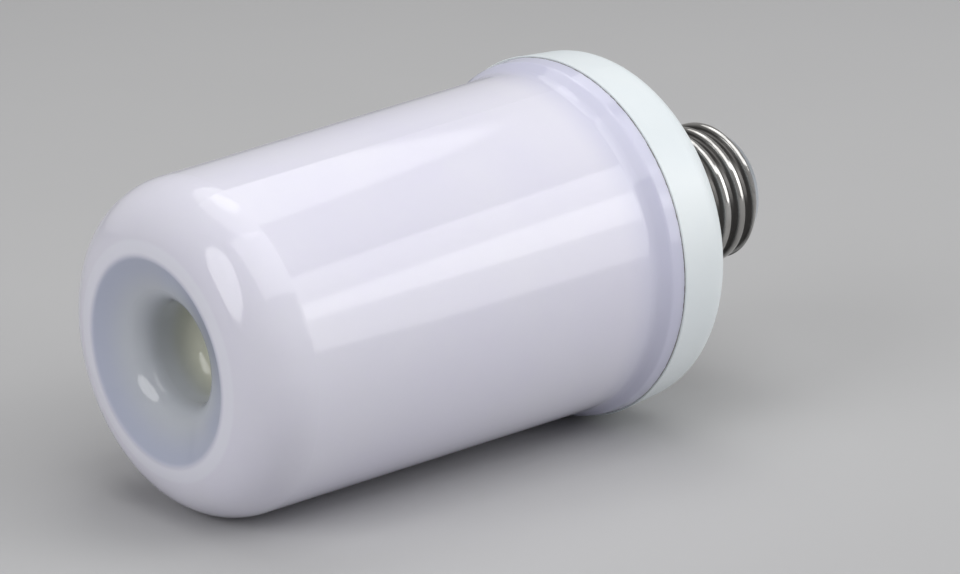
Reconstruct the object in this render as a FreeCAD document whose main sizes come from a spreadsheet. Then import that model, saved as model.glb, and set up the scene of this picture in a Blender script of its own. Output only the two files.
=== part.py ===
import FreeCAD, Part
import math
import os
import Sketcher
from FreeCAD import Placement, Rotation, Vector

# LED bulb with a flame effect: milky cover with a dished end, white ring and neck, screw cap, and the LED
# core and driver inside. It stands on the rim of the dished end, z = 0, with the screw cap up.
# Lengths are millimetres, angles degrees. "level" is a height above the rim.

SIZES = {
    # Cover: rim, funnel and well of the dished end. Radii of funnel, throat and floor are those of sharp corners.
    "funnel_radius": 17.8,
    "throat_radius": 9.0,
    "throat_level": 4.1,
    "throat_fillet": 5.0,
    "well_depth": 14.5,
    "well_floor_radius": 8.7,
    "well_floor_fillet": 3.5,
    "rim_inner_fillet": 1.0,
    "rim_outer_fillet": 11.2,
    "rim_thickening": 0.7,
    # Cover: tapered barrel, flange and the spigot that goes into the ring.
    "barrel_end_radius": 29.1,
    "barrel_root_radius": 31.15,
    "barrel_length": 84.3,
    "flare_height": 2.7,
    "flare_fillet": 4.0,
    "flange_reach": 1.85,
    "flange_draft": 0.3,
    "flange_shoulder_fillet": 1.5,
    "flange_height": 2.6,
    "seam_bevel": 0.12,
    "cover_wall": 1.5,
    "spigot_inset": 1.9,
    "spigot_length": 4.0,
    "fit_gap": 0.1,
    # Housing: ring, shoulder cone and neck.
    "ring_step": 0.3,
    "ring_draft": 0.9,
    "ring_height": 11.3,
    "ring_fillet": 5.0,
    "ring_wall": 3.1,
    "seat_height": 16.6,
    "seat_radius": 15.0,
    "seat_fillet": 0.8,
    "roof_height": 8.8,
    "roof_rise": 5.0,
    "roof_fillet": 3.0,
    "neck_bore": 9.6,
    "boss_radius": 3.0,
    "boss_bore": 1.25,
    "wire_slot_width": 1.9,
    "wire_slot_depth": 2.0,
    # Cap: rolled thread of seven turns to 25.4 mm, as on a 27 mm medium screw cap.
    "thread_pitch": 3.629,
    "thread_crest_radius": 13.15,
    "thread_depth": 1.0,
    "cap_metal": 0.45,
    "cap_length": 24.2,
    "skirt_height": 3.5,
    "skirt_step": 0.1,
    "cap_taper_height": 3.2,
    "cap_taper_run": 2.35,
    "cap_curl": 0.8,
    "cap_rounding": 0.4,
    # Cap insulator and contact.
    "insulator_disc_height": 2.6,
    "insulator_lip": 0.25,
    "insulator_collar": 0.2,
    "insulator_cone_height": 1.8,
    "insulator_tip_margin": 0.6,
    "rivet_bore": 2.0,
    "rivet_shank_tail": 1.0,
    "rivet_head_radius": 4.8,
    "rivet_head_height": 1.5,
    "rivet_head_fillet": 1.0,
    # LED core.
    "core_radius": 17.0,
    "core_wall": 1.6,
    "core_clearance": 2.4,
    "lug_width": 7.0,
    "lug_height": 2.0,
    "lug_margin": 3.5,
    "flex_thickness": 0.4,
    "flex_margin": 1.6,
    "flex_setback": 11.0,
    "flex_tail": 6.0,
    "flex_seam": 0.8,
    "led_width": 2.8,
    "led_length": 3.5,
    "led_height": 0.8,
    "row_columns": 14,
    "row_offset": 5.0,
    "top_board_thickness": 1.0,
    "top_led_circle": 9.0,
    "top_led_columns": 6,
    # Driver board and what is fixed to it.
    "board_setback": 3.4,
    "board_thickness": 1.6,
    "board_margin": 4.5,
    "board_clearance": 2.6,
    "screw_play": 0.3,
    "screw_grip": 4.2,
    "screw_head_radius": 2.3,
    "screw_head_height": 1.8,
    "screw_head_fillet": 0.6,
    "screw_point": 1.0,
    "screw_slot_width": 0.6,
    "screw_slot_length": 2.8,
    "screw_slot_depth": 0.9,
    "pin_width": 0.6,
    "pin_pitch": 2.0,
    "pin_overlap": 3.0,
    "pin_count": 6,
    "pin_azimuth": 60.0,
    "wire_radius": 0.75,
    "lead_radius": 0.5,
}

ROW_COUNT = 7
SCREW_COUNT = 3
THREAD_SINK = 0.04
SKIRT_SLOPE = 1.0
BOSS_ROOT = 0.5
SHEET = "Sizes"

# Parts on the driver board: how far along and across from its centre, then their sizes.
STANDING_CANS = {
    "input_capacitor": {"x": 3.8, "y": 2.2, "radius": 4.0, "height": 16.0, "edge": 0.5},
    "output_capacitor": {"x": -4.2, "y": 3.2, "radius": 3.15, "height": 11.0, "edge": 0.4},
}
CHIPS = {
    "bridge_rectifier": {"x": -14.0, "y": -6.0, "length": 4.7, "width": 3.8, "height": 2.5, "legs": 2},
    "led_driver_chip": {"x": -15.0, "y": 5.0, "length": 4.9, "width": 3.9, "height": 1.5, "legs": 4},
    "flame_controller_chip": {"x": 13.0, "y": 12.0, "length": 8.7, "width": 3.9, "height": 1.5, "legs": 7},
    "flyback_diode": {"x": -8.0, "y": -13.0, "length": 4.3, "width": 2.6, "height": 2.1, "legs": 1},
}
CHIP_LEG_REACH = 1.0
CHIP_LEG_WIDTH = 0.4
CHIP_LEG_HEIGHT = 0.5
LYING_CANS = {
    "fusible_resistor": {"x": 8.0, "y": -14.0, "radius": 1.7, "length": 9.0, "turn": 30.0},
    "tilt_switch": {"x": -1.0, "y": -20.5, "radius": 2.2, "length": 6.5, "turn": 0.0},
}
INDUCTOR = {"x": -2.0, "y": 15.0, "flange_radius": 4.0, "waist_radius": 3.2, "height": 5.4, "flange": 1.1}

# Routes of the leads: along, across and the share of the way from the driver board to the lead's other end.
LIVE_ROUTE = [(5.5, -5.2, 0.0), (5.5, -5.2, 0.28), (3.0, -2.8, 0.57), (0.0, 0.0, 0.79), (0.0, 0.0, 1.0)]
NEUTRAL_ROUTE = [(-6.0, -4.6, 0.0), (-6.0, -4.6, 0.29), (-7.0, -1.6, 0.64), (-7.2, 0.0, 1.0)]
TOP_LEAD_ROUTES = [
    [(9.0, 3.0, 0.0), (9.0, 3.0, 0.13), (8.0, 2.4, 0.38), (8.6, 3.2, 0.62), (7.0, 3.2, 0.84), (7.0, 3.2, 1.0)],
    [(9.0, -3.0, 0.0), (9.0, -3.0, 0.15), (8.2, -2.2, 0.4), (7.6, -3.2, 0.64), (7.0, -3.2, 0.84), (7.0, -3.2, 1.0)],
]


class Size:
    """A length with its formula: the number now, and the same sum written for the sheet."""

    def __init__(self, value, formula=None):
        self.value = float(value)
        self.formula = repr(self.value) if formula is None else formula

    @staticmethod
    def of(other):
        return other if isinstance(other, Size) else Size(other)

    def __add__(self, other):
        other = Size.of(other)
        return Size(self.value + other.value, f"({self.formula} + {other.formula})")

    def __neg__(self):
        return Size(-self.value, f"(-{self.formula})")

    def __sub__(self, other):
        other = Size.of(other)
        return Size(self.value - other.value, f"({self.formula} - {other.formula})")

    def __mul__(self, other):
        other = Size.of(other)
        return Size(self.value * other.value, f"({self.formula} * {other.formula})")

    def __truediv__(self, other):
        other = Size.of(other)
        return Size(self.value / other.value, f"({self.formula} / {other.formula})")


class Sheet:
    """The sheet of driving sizes: each alias is read as an attribute and comes back as a Size."""

    def __init__(self, doc, sizes):
        table = doc.addObject("Spreadsheet::Sheet", SHEET)
        for row, (alias, value) in enumerate(sizes.items(), start=1):
            table.set(f"A{row}", alias)
            table.set(f"B{row}", str(value))
            table.setAlias(f"B{row}", alias)
        doc.recompute()
        for alias in sizes:
            setattr(self, alias, Size(table.get(alias), f"{SHEET}.{alias}"))


doc = FreeCAD.newDocument("FlameBulb")
size = Sheet(doc, SIZES)
nodes = []

# Levels and radii that follow from the sizes.
flange_level = size.barrel_length + size.flare_height
seam_level = flange_level + size.flange_height
flange_radius = size.barrel_root_radius + size.flange_reach
spigot_radius = flange_radius - size.spigot_inset
spigot_end = seam_level + size.spigot_length

ring_bore = spigot_radius + size.fit_gap
ring_front_radius = flange_radius + size.ring_step
ring_back_level = seam_level + size.ring_height
ring_inside = ring_front_radius - size.ring_wall
roof_level = seam_level + size.roof_height
seat_level = seam_level + size.seat_height

cap_end = seat_level + size.cap_length
thread_root_radius = size.thread_crest_radius - size.thread_depth
shell_bore_radius = thread_root_radius - size.cap_metal
skirt_radius = size.thread_crest_radius + size.skirt_step
cap_end_radius = size.thread_crest_radius - size.cap_taper_run
cap_hole_radius = cap_end_radius - size.cap_curl
neck_radius = shell_bore_radius - size.fit_gap
insulator_disc_top = cap_end - size.cap_metal
insulator_disc_radius = cap_hole_radius + size.insulator_lip
neck_top = insulator_disc_top - size.insulator_disc_height
contact_seat = cap_end + size.insulator_cone_height
rivet_tail_level = neck_top - size.rivet_shank_tail

board_level = seam_level + size.board_setback
board_top = board_level + size.board_thickness
board_radius = spigot_radius - size.cover_wall - size.board_clearance
boss_circle = board_radius - size.board_margin
screw_shank_radius = size.boss_bore - size.fit_gap / 2
screw_bore = screw_shank_radius + size.screw_play
core_end = size.well_depth + size.cover_wall + size.core_clearance
flex_level = core_end + size.flex_margin
flex_length = board_level - size.flex_setback - flex_level
row_pitch = (flex_length - size.row_offset - size.flex_tail) / (ROW_COUNT - 1)
flex_bore = size.core_radius + size.fit_gap
flex_radius = flex_bore + size.flex_thickness


def origin_feature(body, role):
    """One of the body's own origin planes or axes."""
    return [feature for feature in body.Origin.OriginFeatures if feature.Role == role][0]


def bind(target, path, amount):
    """Set a property to a formula of the sheet."""
    target.setExpression(path, Size.of(amount).formula)


def make_body(label):
    """A body whose label is the name of its node."""
    body = doc.addObject("PartDesign::Body", label)
    body.Label = label
    nodes.append(body)
    return body


def make_sketch(body, name, role, level=None):
    """A sketch on one of the body's origin planes, raised off it by a level where one is given."""
    sketch = body.newObject("Sketcher::SketchObject", name)
    sketch.AttachmentSupport = [(origin_feature(body, role), "")]
    sketch.MapMode = "FlatFace"
    if level is not None:
        bind(sketch, "AttachmentOffset.Base.z", level)
    return sketch


def constrain(sketch, kind, *geometry, amount):
    """Add a dimension and bind it to its formula."""
    amount = Size.of(amount)
    index = sketch.addConstraint(Sketcher.Constraint(kind, *geometry, amount.value))
    sketch.setExpression(f"Constraints[{index}]", amount.formula)


def place_point(sketch, geometry, position, across, up):
    """Dimension a point from the sketch's origin; zero puts it on an axis."""
    for amount, kind, axis in ((across, "DistanceX", -2), (up, "DistanceY", -1)):
        amount = Size.of(amount)
        if amount.value == 0.0:
            sketch.addConstraint(Sketcher.Constraint("PointOnObject", geometry, position, axis))
        else:
            constrain(sketch, kind, -1, 1, geometry, position, amount=amount)


def draw_outline(sketch, corners):
    """A closed outline of lines. A corner is (across, up) or, where it is rounded, (across, up, fillet)."""
    points = [Vector(Size.of(corner[0]).value, Size.of(corner[1]).value, 0) for corner in corners]
    count = len(points)
    first = sketch.GeometryCount
    lines = [first + index for index in range(count)]
    for index in range(count):
        sketch.addGeometry(Part.LineSegment(points[index], points[(index + 1) % count]))
    for index in range(count):
        following = lines[(index + 1) % count]
        sketch.addConstraint(Sketcher.Constraint("Coincident", lines[index], 2, following, 1))
    for line, corner in zip(lines, corners):
        place_point(sketch, line, 1, corner[0], corner[1])
    for index, corner in enumerate(corners):
        if len(corner) == 2:
            continue
        radius = Size.of(corner[2])
        before = points[index] + (points[index - 1] - points[index]).normalize() * radius.value * 0.3
        after = points[index] + (points[(index + 1) % count] - points[index]).normalize() * radius.value * 0.3
        sketch.fillet(lines[index - 1], lines[index], before, after, radius.value, True, True)
        arcs = [place for place, shape in enumerate(sketch.Geometry) if isinstance(shape, Part.ArcOfCircle)]
        constrain(sketch, "Radius", arcs[-1], amount=radius)


def draw_circle(sketch, across, up, radius):
    """A circle dimensioned from the sketch's origin."""
    centre = Vector(Size.of(across).value, Size.of(up).value, 0)
    circle = sketch.addGeometry(Part.Circle(centre, Vector(0, 0, 1), Size.of(radius).value))
    place_point(sketch, circle, 3, across, up)
    constrain(sketch, "Radius", circle, amount=radius)


def turn(body, name, corners, kind="PartDesign::Revolution"):
    """Turn a half section about the bulb's axis, to add metal or, with a groove, to cut it away."""
    sketch = make_sketch(body, f"{name}_section", "XZ_Plane")
    draw_outline(sketch, corners)
    feature = body.newObject(kind, name)
    feature.Profile = (sketch, [""])
    feature.ReferenceAxis = (sketch, ["V_Axis"])
    feature.Angle = 360.0
    return feature


def extrude(body, name, sketch, length, kind="PartDesign::Pad"):
    """Pad a sketch away from its plane, or pocket along the same way."""
    feature = body.newObject(kind, name)
    feature.Profile = (sketch, [""])
    bind(feature, "Length", length)
    if kind == "PartDesign::Pocket":
        feature.Reversed = True
    return feature


def repeat_round(body, name, features, count):
    """Repeat features evenly about the bulb's axis."""
    pattern = body.newObject("PartDesign::PolarPattern", name)
    pattern.Originals = features
    pattern.Axis = (origin_feature(body, "Z_Axis"), [""])
    pattern.Angle = 360.0
    bind(pattern, "Occurrences", count)
    body.Tip = pattern


def keep_shape(label, shape):
    """A node whose shape is worked out from the sheet's numbers."""
    feature = doc.addObject("Part::Feature", label)
    feature.Label = label
    feature.Shape = shape
    nodes.append(feature)
    return feature


def check_cut(body, feature):
    """A cut that points away from its solid removes nothing, so the volume is compared."""
    doc.recompute()
    before = feature.BaseFeature.Shape.Volume
    if body.Shape.Volume > before - 1e-6:
        raise RuntimeError(f"{feature.Name} cuts nothing from {body.Label}")


# Milky cover: one moulding of nearly even wall, closed by the dished end.
def make_cover():
    body = make_body("diffuser_cover")
    funnel_lean = size.throat_level / (size.funnel_radius - size.throat_radius) / 2
    throat_offset = size.cover_wall * (-funnel_lean + 1) / (funnel_lean + 1)
    inner_rim = size.cover_wall
    inner_rim_fillet = size.rim_outer_fillet - size.cover_wall - size.rim_thickening
    inner_floor = size.well_depth + size.cover_wall
    turn(body, "cover_turning", [
        (0, size.well_depth),
        (size.well_floor_radius, size.well_depth, size.well_floor_fillet),
        (size.throat_radius, size.throat_level, size.throat_fillet),
        (size.funnel_radius, 0, size.rim_inner_fillet),
        (size.barrel_end_radius, 0, size.rim_outer_fillet),
        (size.barrel_root_radius, size.barrel_length, size.flare_fillet),
        (flange_radius - size.flange_draft, flange_level, size.flange_shoulder_fillet),
        (flange_radius, seam_level - size.seam_bevel),
        (flange_radius - size.seam_bevel, seam_level),
        (spigot_radius, seam_level),
        (spigot_radius, spigot_end),
        (spigot_radius - size.cover_wall, spigot_end),
        (size.barrel_root_radius - size.cover_wall, size.barrel_length),
        (size.barrel_end_radius - size.cover_wall, inner_rim, inner_rim_fillet),
        (size.funnel_radius + size.cover_wall * funnel_lean, inner_rim),
        (size.throat_radius + size.cover_wall, size.throat_level + throat_offset,
         size.throat_fillet - size.cover_wall),
        (size.well_floor_radius + size.cover_wall, inner_floor, size.well_floor_fillet + size.cover_wall),
        (0, inner_floor),
    ])


# White ring, shoulder and neck: one moulding with three screw bosses under its roof.
def make_housing():
    body = make_body("base_housing")
    turn(body, "housing_turning", [
        (ring_bore, seam_level),
        (ring_front_radius - size.seam_bevel, seam_level),
        (ring_front_radius, seam_level + size.seam_bevel),
        (ring_front_radius - size.ring_draft, ring_back_level, size.ring_fillet),
        (size.seat_radius, seat_level, size.seat_fillet),
        (neck_radius, seat_level),
        (neck_radius, neck_top),
        (size.neck_bore, neck_top),
        (size.neck_bore, roof_level + size.roof_rise),
        (ring_inside, roof_level, size.roof_fillet),
        (ring_inside, spigot_end + size.fit_gap),
        (ring_bore, spigot_end + size.fit_gap),
    ])
    roof_slope = size.roof_rise / (ring_inside - size.neck_bore)
    roof_above_boss = roof_level + roof_slope * (ring_inside - boss_circle + size.boss_radius)
    sketch = make_sketch(body, "boss_section", "XY_Plane", board_top)
    draw_circle(sketch, boss_circle, 0, size.boss_radius)
    draw_circle(sketch, boss_circle, 0, size.boss_bore)
    boss = extrude(body, "screw_boss", sketch, roof_above_boss + BOSS_ROOT - board_top)
    repeat_round(body, "screw_bosses", [boss], SCREW_COUNT)
    sketch = make_sketch(body, "wire_slot_section", "YZ_Plane")
    half = size.wire_slot_width / 2
    bottom = neck_top - size.wire_slot_depth
    top = neck_top + 1
    draw_outline(sketch, [(-half, bottom), (half, bottom), (half, top), (-half, top)])
    slot = extrude(body, "wire_slot", sketch, neck_radius + 1, "PartDesign::Pocket")
    slot.Reversed = False
    body.Tip = slot
    check_cut(body, slot)


# Section of one thread ridge: flat crest and feet rounded alike, its base sunk into the shell's wall.
def thread_corners(crest_radius, root_radius, start_level):
    half_crest = size.thread_pitch / 6
    half_foot = size.thread_pitch / 3
    half_base = size.thread_pitch * 0.49
    rounding = size.thread_pitch / 4
    base_radius = root_radius - size.cap_metal / 2
    return [
        (base_radius, start_level - half_base),
        (root_radius, start_level - half_base),
        (root_radius, start_level - half_foot, rounding),
        (crest_radius, start_level - half_crest, rounding),
        (crest_radius, start_level + half_crest, rounding),
        (root_radius, start_level + half_foot, rounding),
        (root_radius, start_level + half_base),
        (base_radius, start_level + half_base),
    ]


def wind_thread(body, name, kind, corners, turns):
    """Wind a ridge section about the axis, one pitch to the turn."""
    sketch = make_sketch(body, f"{name}_section", "XZ_Plane")
    draw_outline(sketch, corners)
    thread = body.newObject(kind, name)
    thread.Profile = (sketch, [""])
    thread.ReferenceAxis = (sketch, ["V_Axis"])
    thread.Mode = "pitch-turns-angle"
    bind(thread, "Pitch", size.thread_pitch)
    bind(thread, "Turns", turns)
    bind(thread, "Height", size.thread_pitch * turns)
    thread.Angle = 0.0
    thread.LeftHanded = False
    return thread


# Plated screw shell: plain skirt, rolled thread in its wall and an inturned end.
def make_screw_cap():
    body = make_body("screw_cap")
    skirt_end = seat_level + size.skirt_height
    taper_start = cap_end - size.cap_taper_height
    core_radius = thread_root_radius + THREAD_SINK
    taper_slope = size.cap_taper_height / size.cap_taper_run
    taper_at_core = taper_start + (size.thread_crest_radius - core_radius) * taper_slope
    turn(body, "shell_turning", [
        (0, seat_level),
        (skirt_radius, seat_level),
        (skirt_radius, skirt_end, size.cap_rounding),
        (core_radius, skirt_end + SKIRT_SLOPE, size.cap_rounding),
        (core_radius, taper_at_core),
        (cap_end_radius, cap_end, size.cap_rounding),
        (0, cap_end),
    ])
    thread_start = skirt_end - size.thread_pitch / 4
    # The ridge runs on past the cap's end, so that the taper cuts it off gradually.
    ridge = thread_corners(size.thread_crest_radius, thread_root_radius, thread_start)
    ridge_turns = (cap_end - thread_start) / size.thread_pitch + 0.2
    wind_thread(body, "thread_ridge", "PartDesign::AdditiveHelix", ridge, ridge_turns)
    outside = skirt_radius + 3
    beyond = cap_end + 6
    trim = turn(body, "thread_runout", [
        (size.thread_crest_radius, taper_start),
        (outside, taper_start),
        (outside, beyond),
        (0, beyond),
        (0, cap_end),
        (cap_end_radius, cap_end),
    ], "PartDesign::Groove")
    body.Tip = trim
    check_cut(body, trim)
    inner_crest = size.thread_crest_radius - size.cap_metal
    bore_radius = shell_bore_radius + THREAD_SINK
    bore = turn(body, "shell_bore", [
        (0, seat_level),
        (skirt_radius - size.cap_metal, seat_level),
        (skirt_radius - size.cap_metal, skirt_end - size.cap_metal),
        (bore_radius, skirt_end + SKIRT_SLOPE - size.cap_metal),
        (bore_radius, taper_at_core - size.cap_metal),
        (insulator_disc_radius + size.fit_gap, insulator_disc_top),
        (cap_hole_radius, insulator_disc_top),
        (cap_hole_radius, beyond),
        (0, beyond),
    ], "PartDesign::Groove")
    body.Tip = bore
    check_cut(body, bore)
    # The same form inside the metal stops half a pitch short of the taper.
    groove = thread_corners(inner_crest, shell_bore_radius, thread_start)
    groove_turns = (taper_start - thread_start) / size.thread_pitch - 0.5
    thread = wind_thread(body, "thread_groove", "PartDesign::SubtractiveHelix", groove, groove_turns)
    body.Tip = thread
    check_cut(body, thread)


def make_insulator():
    body = make_body("cap_insulator")
    neck = cap_hole_radius - size.fit_gap
    turn(body, "insulator_turning", [
        (size.rivet_bore, neck_top),
        (insulator_disc_radius, neck_top),
        (insulator_disc_radius, insulator_disc_top),
        (neck, insulator_disc_top),
        (neck, cap_end + size.insulator_collar),
        (size.rivet_head_radius + size.insulator_tip_margin, contact_seat),
        (size.rivet_bore, contact_seat),
    ])


def make_contact():
    body = make_body("centre_contact")
    head_top = contact_seat + size.rivet_head_height
    shank = size.rivet_bore - size.fit_gap / 2
    turn(body, "contact_turning", [
        (0, rivet_tail_level),
        (shank, rivet_tail_level),
        (shank, contact_seat),
        (size.rivet_head_radius, contact_seat),
        (size.rivet_head_radius, head_top, size.rivet_head_fillet),
        (0, head_top),
    ])


# Plastic tube that carries the LED boards, with three screw lugs against the driver board.
def make_core_tube():
    body = make_body("core_tube")
    inner = size.core_radius - size.core_wall
    turn(body, "tube_turning", [
        (inner, core_end),
        (size.core_radius, core_end),
        (size.core_radius, board_level),
        (inner, board_level),
    ])
    sketch = make_sketch(body, "lug_section", "XY_Plane", board_level - size.lug_height)
    half = size.lug_width / 2
    lug_start = size.core_radius - size.core_wall / 2
    lug_end = boss_circle + size.lug_margin
    draw_outline(sketch, [(lug_start, -half), (lug_end, -half), (lug_end, half), (lug_start, half)])
    draw_circle(sketch, boss_circle, 0, screw_bore)
    lug = extrude(body, "lug", sketch, size.lug_height)
    repeat_round(body, "lugs", [lug], SCREW_COUNT)


def make_flex_board():
    body = make_body("led_flex_board")
    sketch = make_sketch(body, "flex_section", "XY_Plane", flex_level)
    draw_circle(sketch, 0, 0, flex_radius)
    draw_circle(sketch, 0, 0, flex_bore)
    extrude(body, "flex_roll", sketch, flex_length)
    sketch = make_sketch(body, "seam_section", "XY_Plane", flex_level)
    # The seam lies half a column away from the first LEDs, so it is cut along its own direction.
    half_column = 180.0 / SIZES["row_columns"]
    sketch.AttachmentOffset = Placement(Vector(0, 0, flex_level.value), Rotation(Vector(0, 0, 1), half_column))
    half = size.flex_seam / 2
    outside = flex_radius + 1
    inside = size.core_radius - 1
    draw_outline(sketch, [(inside, -half), (outside, -half), (outside, half), (inside, half)])
    seam = extrude(body, "flex_seam", sketch, flex_length, "PartDesign::Pocket")
    body.Tip = seam
    check_cut(body, seam)


def make_led_row(number):
    """One row of LEDs round the rolled board: a group of separate solids."""
    body = make_body(f"side_leds_row_{number}")
    level = flex_level + size.row_offset + row_pitch * (number - 1)
    sketch = make_sketch(body, f"led_{number}_section", "YZ_Plane", flex_radius)
    half = size.led_width / 2
    bottom = level - size.led_length / 2
    top = level + size.led_length / 2
    draw_outline(sketch, [(-half, bottom), (half, bottom), (half, top), (-half, top)])
    led = extrude(body, f"led_{number}", sketch, size.led_height)
    repeat_round(body, f"leds_{number}", [led], size.row_columns)


def make_top_board():
    board = doc.addObject("Part::Cylinder", "top_led_board")
    bind(board, "Radius", size.core_radius)
    bind(board, "Height", size.top_board_thickness)
    bind(board, "Placement.Base.z", core_end - size.top_board_thickness)
    nodes.append(board)
    body = make_body("top_leds")
    level = core_end - size.top_board_thickness - size.led_height
    half = size.led_width / 2
    sketch = make_sketch(body, "middle_led_section", "XY_Plane", level)
    draw_outline(sketch, [(-half, -half), (half, -half), (half, half), (-half, half)])
    extrude(body, "middle_led", sketch, size.led_height)
    sketch = make_sketch(body, "ring_led_section", "XY_Plane", level)
    near = size.top_led_circle - half
    far = size.top_led_circle + half
    draw_outline(sketch, [(near, -half), (far, -half), (far, half), (near, half)])
    led = extrude(body, "ring_led", sketch, size.led_height)
    repeat_round(body, "ring_leds", [led], size.top_led_columns)


def make_driver_board():
    body = make_body("driver_board")
    sketch = make_sketch(body, "board_section", "XY_Plane", board_level)
    draw_circle(sketch, 0, 0, board_radius)
    extrude(body, "board_disc", sketch, size.board_thickness)
    sketch = make_sketch(body, "board_hole_section", "XY_Plane", board_level)
    draw_circle(sketch, boss_circle, 0, screw_bore)
    hole = extrude(body, "board_hole", sketch, size.board_thickness, "PartDesign::Pocket")
    repeat_round(body, "board_holes", [hole], SCREW_COUNT)
    doc.recompute()
    if len(body.Shape.Faces) != 3 + SCREW_COUNT:
        raise RuntimeError("the driver board has lost a screw hole")


def make_screws():
    """Three slotted pan head screws from below, through lug and board into the bosses."""
    body = make_body("core_screws")
    head_top = board_level - size.lug_height
    head_bottom = head_top - size.screw_head_height
    tip = board_top + size.screw_grip
    sketch = make_sketch(body, "screw_section", "XZ_Plane")
    bind(sketch, "AttachmentOffset.Base.x", boss_circle)
    draw_outline(sketch, [
        (0, head_bottom),
        (size.screw_head_radius, head_bottom, size.screw_head_fillet),
        (size.screw_head_radius, head_top),
        (screw_shank_radius, head_top),
        (screw_shank_radius, tip - size.screw_point),
        (0, tip),
    ])
    screw = body.newObject("PartDesign::Revolution", "screw_turning")
    screw.Profile = (sketch, [""])
    screw.ReferenceAxis = (sketch, ["V_Axis"])
    screw.Angle = 360.0
    sketch = make_sketch(body, "drive_section", "XY_Plane", head_bottom)
    half_width = size.screw_slot_width / 2
    half_length = size.screw_slot_length / 2
    near = boss_circle - half_length
    far = boss_circle + half_length
    draw_outline(sketch, [(near, -half_width), (far, -half_width), (far, half_width), (near, half_width)])
    drive = extrude(body, "drive_slot", sketch, size.screw_slot_depth, "PartDesign::Pocket")
    check_cut(body, drive)
    repeat_round(body, "screws", [screw, drive], SCREW_COUNT)


def make_pins():
    """Pins down from the driver board, side by side against the rolled board."""
    pins = []
    width = size.pin_width.value
    foot = flex_level.value + flex_length.value - size.pin_overlap.value
    length = board_level.value - foot
    count = SIZES["pin_count"]
    for number in range(count):
        across = (number - (count - 1) / 2) * size.pin_pitch.value
        reach = math.sqrt(flex_radius.value ** 2 - across ** 2) + size.fit_gap.value
        corner = Vector(reach, across - width / 2, foot)
        pins.append(Part.makeBox(width, width, length, corner))
    group = Part.makeCompound(pins)
    feature = keep_shape("board_pins", group)
    feature.Placement = Placement(Vector(0, 0, 0), Rotation(Vector(0, 0, 1), SIZES["pin_azimuth"]))


def make_can(label, spec):
    """Standing capacitor can with a rolled edge."""
    can = doc.addObject("Part::Cylinder", f"{label}_can")
    can.Radius = spec["radius"]
    can.Height = spec["height"]
    can.Placement.Base = Vector(spec["x"], spec["y"], 0)
    bind(can, "Placement.Base.z", board_top)
    doc.recompute()
    top_edge = 1 + max(range(len(can.Shape.Edges)), key=lambda place: can.Shape.Edges[place].CenterOfMass.z)
    rounded = doc.addObject("Part::Fillet", label)
    rounded.Base = can
    rounded.Edges = [(top_edge, spec["edge"], spec["edge"])]
    nodes.append(rounded)


def make_chip(label, spec):
    """Chip body between two rows of legs, all resting on the board."""
    length, width, height = spec["length"], spec["width"], spec["height"]
    base = board_top.value
    solid = Part.makeBox(length, width, height, Vector(-length / 2, -width / 2, base))
    spacing = length / spec["legs"]
    for number in range(spec["legs"]):
        leg_x = (number + 0.5) * spacing - length / 2 - CHIP_LEG_WIDTH / 2
        corner = Vector(leg_x, -width / 2 - CHIP_LEG_REACH, base)
        span = width + 2 * CHIP_LEG_REACH
        solid = solid.fuse(Part.makeBox(CHIP_LEG_WIDTH, span, CHIP_LEG_HEIGHT, corner))
    feature = keep_shape(label, solid.removeSplitter())
    feature.Placement = Placement(Vector(spec["x"], spec["y"], 0), Rotation())


def make_lying_can(label, spec):
    """Can lying on the board on its side."""
    can = doc.addObject("Part::Cylinder", label)
    can.Radius = spec["radius"]
    can.Height = spec["length"]
    turned = Rotation(Vector(0, 0, 1), spec["turn"]).multiply(Rotation(Vector(0, 1, 0), 90))
    can.Placement = Placement(Vector(spec["x"], spec["y"], 0), turned)
    bind(can, "Placement.Base.z", board_top + spec["radius"])
    nodes.append(can)


def make_inductor():
    """Drum inductor: two ferrite flanges on a waist with its winding."""
    base = board_top.value
    centre = Vector(INDUCTOR["x"], INDUCTOR["y"], base)
    waist = Part.makeCylinder(INDUCTOR["waist_radius"], INDUCTOR["height"], centre)
    lower = Part.makeCylinder(INDUCTOR["flange_radius"], INDUCTOR["flange"], centre)
    rise = Vector(0, 0, INDUCTOR["height"] - INDUCTOR["flange"])
    upper = Part.makeCylinder(INDUCTOR["flange_radius"], INDUCTOR["flange"], centre + rise)
    keep_shape("buck_inductor", waist.fuse([lower, upper]).removeSplitter())


def lead_tube(points, radius):
    """Round lead along a route: straight runs joined by tangent arcs as large as the runs allow."""
    edges = []
    start = points[0]
    for index in range(1, len(points) - 1):
        corner = points[index]
        before = points[index - 1] - corner
        after = points[index + 1] - corner
        turn_angle = math.pi - before.getAngle(after)
        trim = 0.45 * min(before.Length, after.Length)
        bend = trim / math.tan(turn_angle / 2)
        entry = corner + before.normalize() * trim
        leave = corner + after.normalize() * trim
        inward = (before + after).normalize()
        middle = corner + inward * (math.hypot(bend, trim) - bend)
        edges.append(Part.LineSegment(start, entry).toShape())
        edges.append(Part.Arc(entry, middle, leave).toShape())
        start = leave
        if bend < 2 * radius:
            raise RuntimeError("a lead is bent too sharply")
    edges.append(Part.LineSegment(start, points[-1]).toShape())
    path = Part.Wire(edges)
    first_run = points[1] - points[0]
    ring = Part.Wire([Part.Circle(points[0], first_run, radius).toShape()])
    tube = path.makePipeShell([ring], True, True)
    expected = math.pi * radius ** 2 * path.Length
    if abs(tube.Volume - expected) > 0.01 * expected:
        raise RuntimeError("a lead's volume is not its section times its length")
    return tube


def route_points(route, first_level, last_level):
    """Points of a route between two levels."""
    start = first_level.value
    way = last_level.value - start
    return [Vector(x, y, start + share * way) for x, y, share in route]


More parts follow.
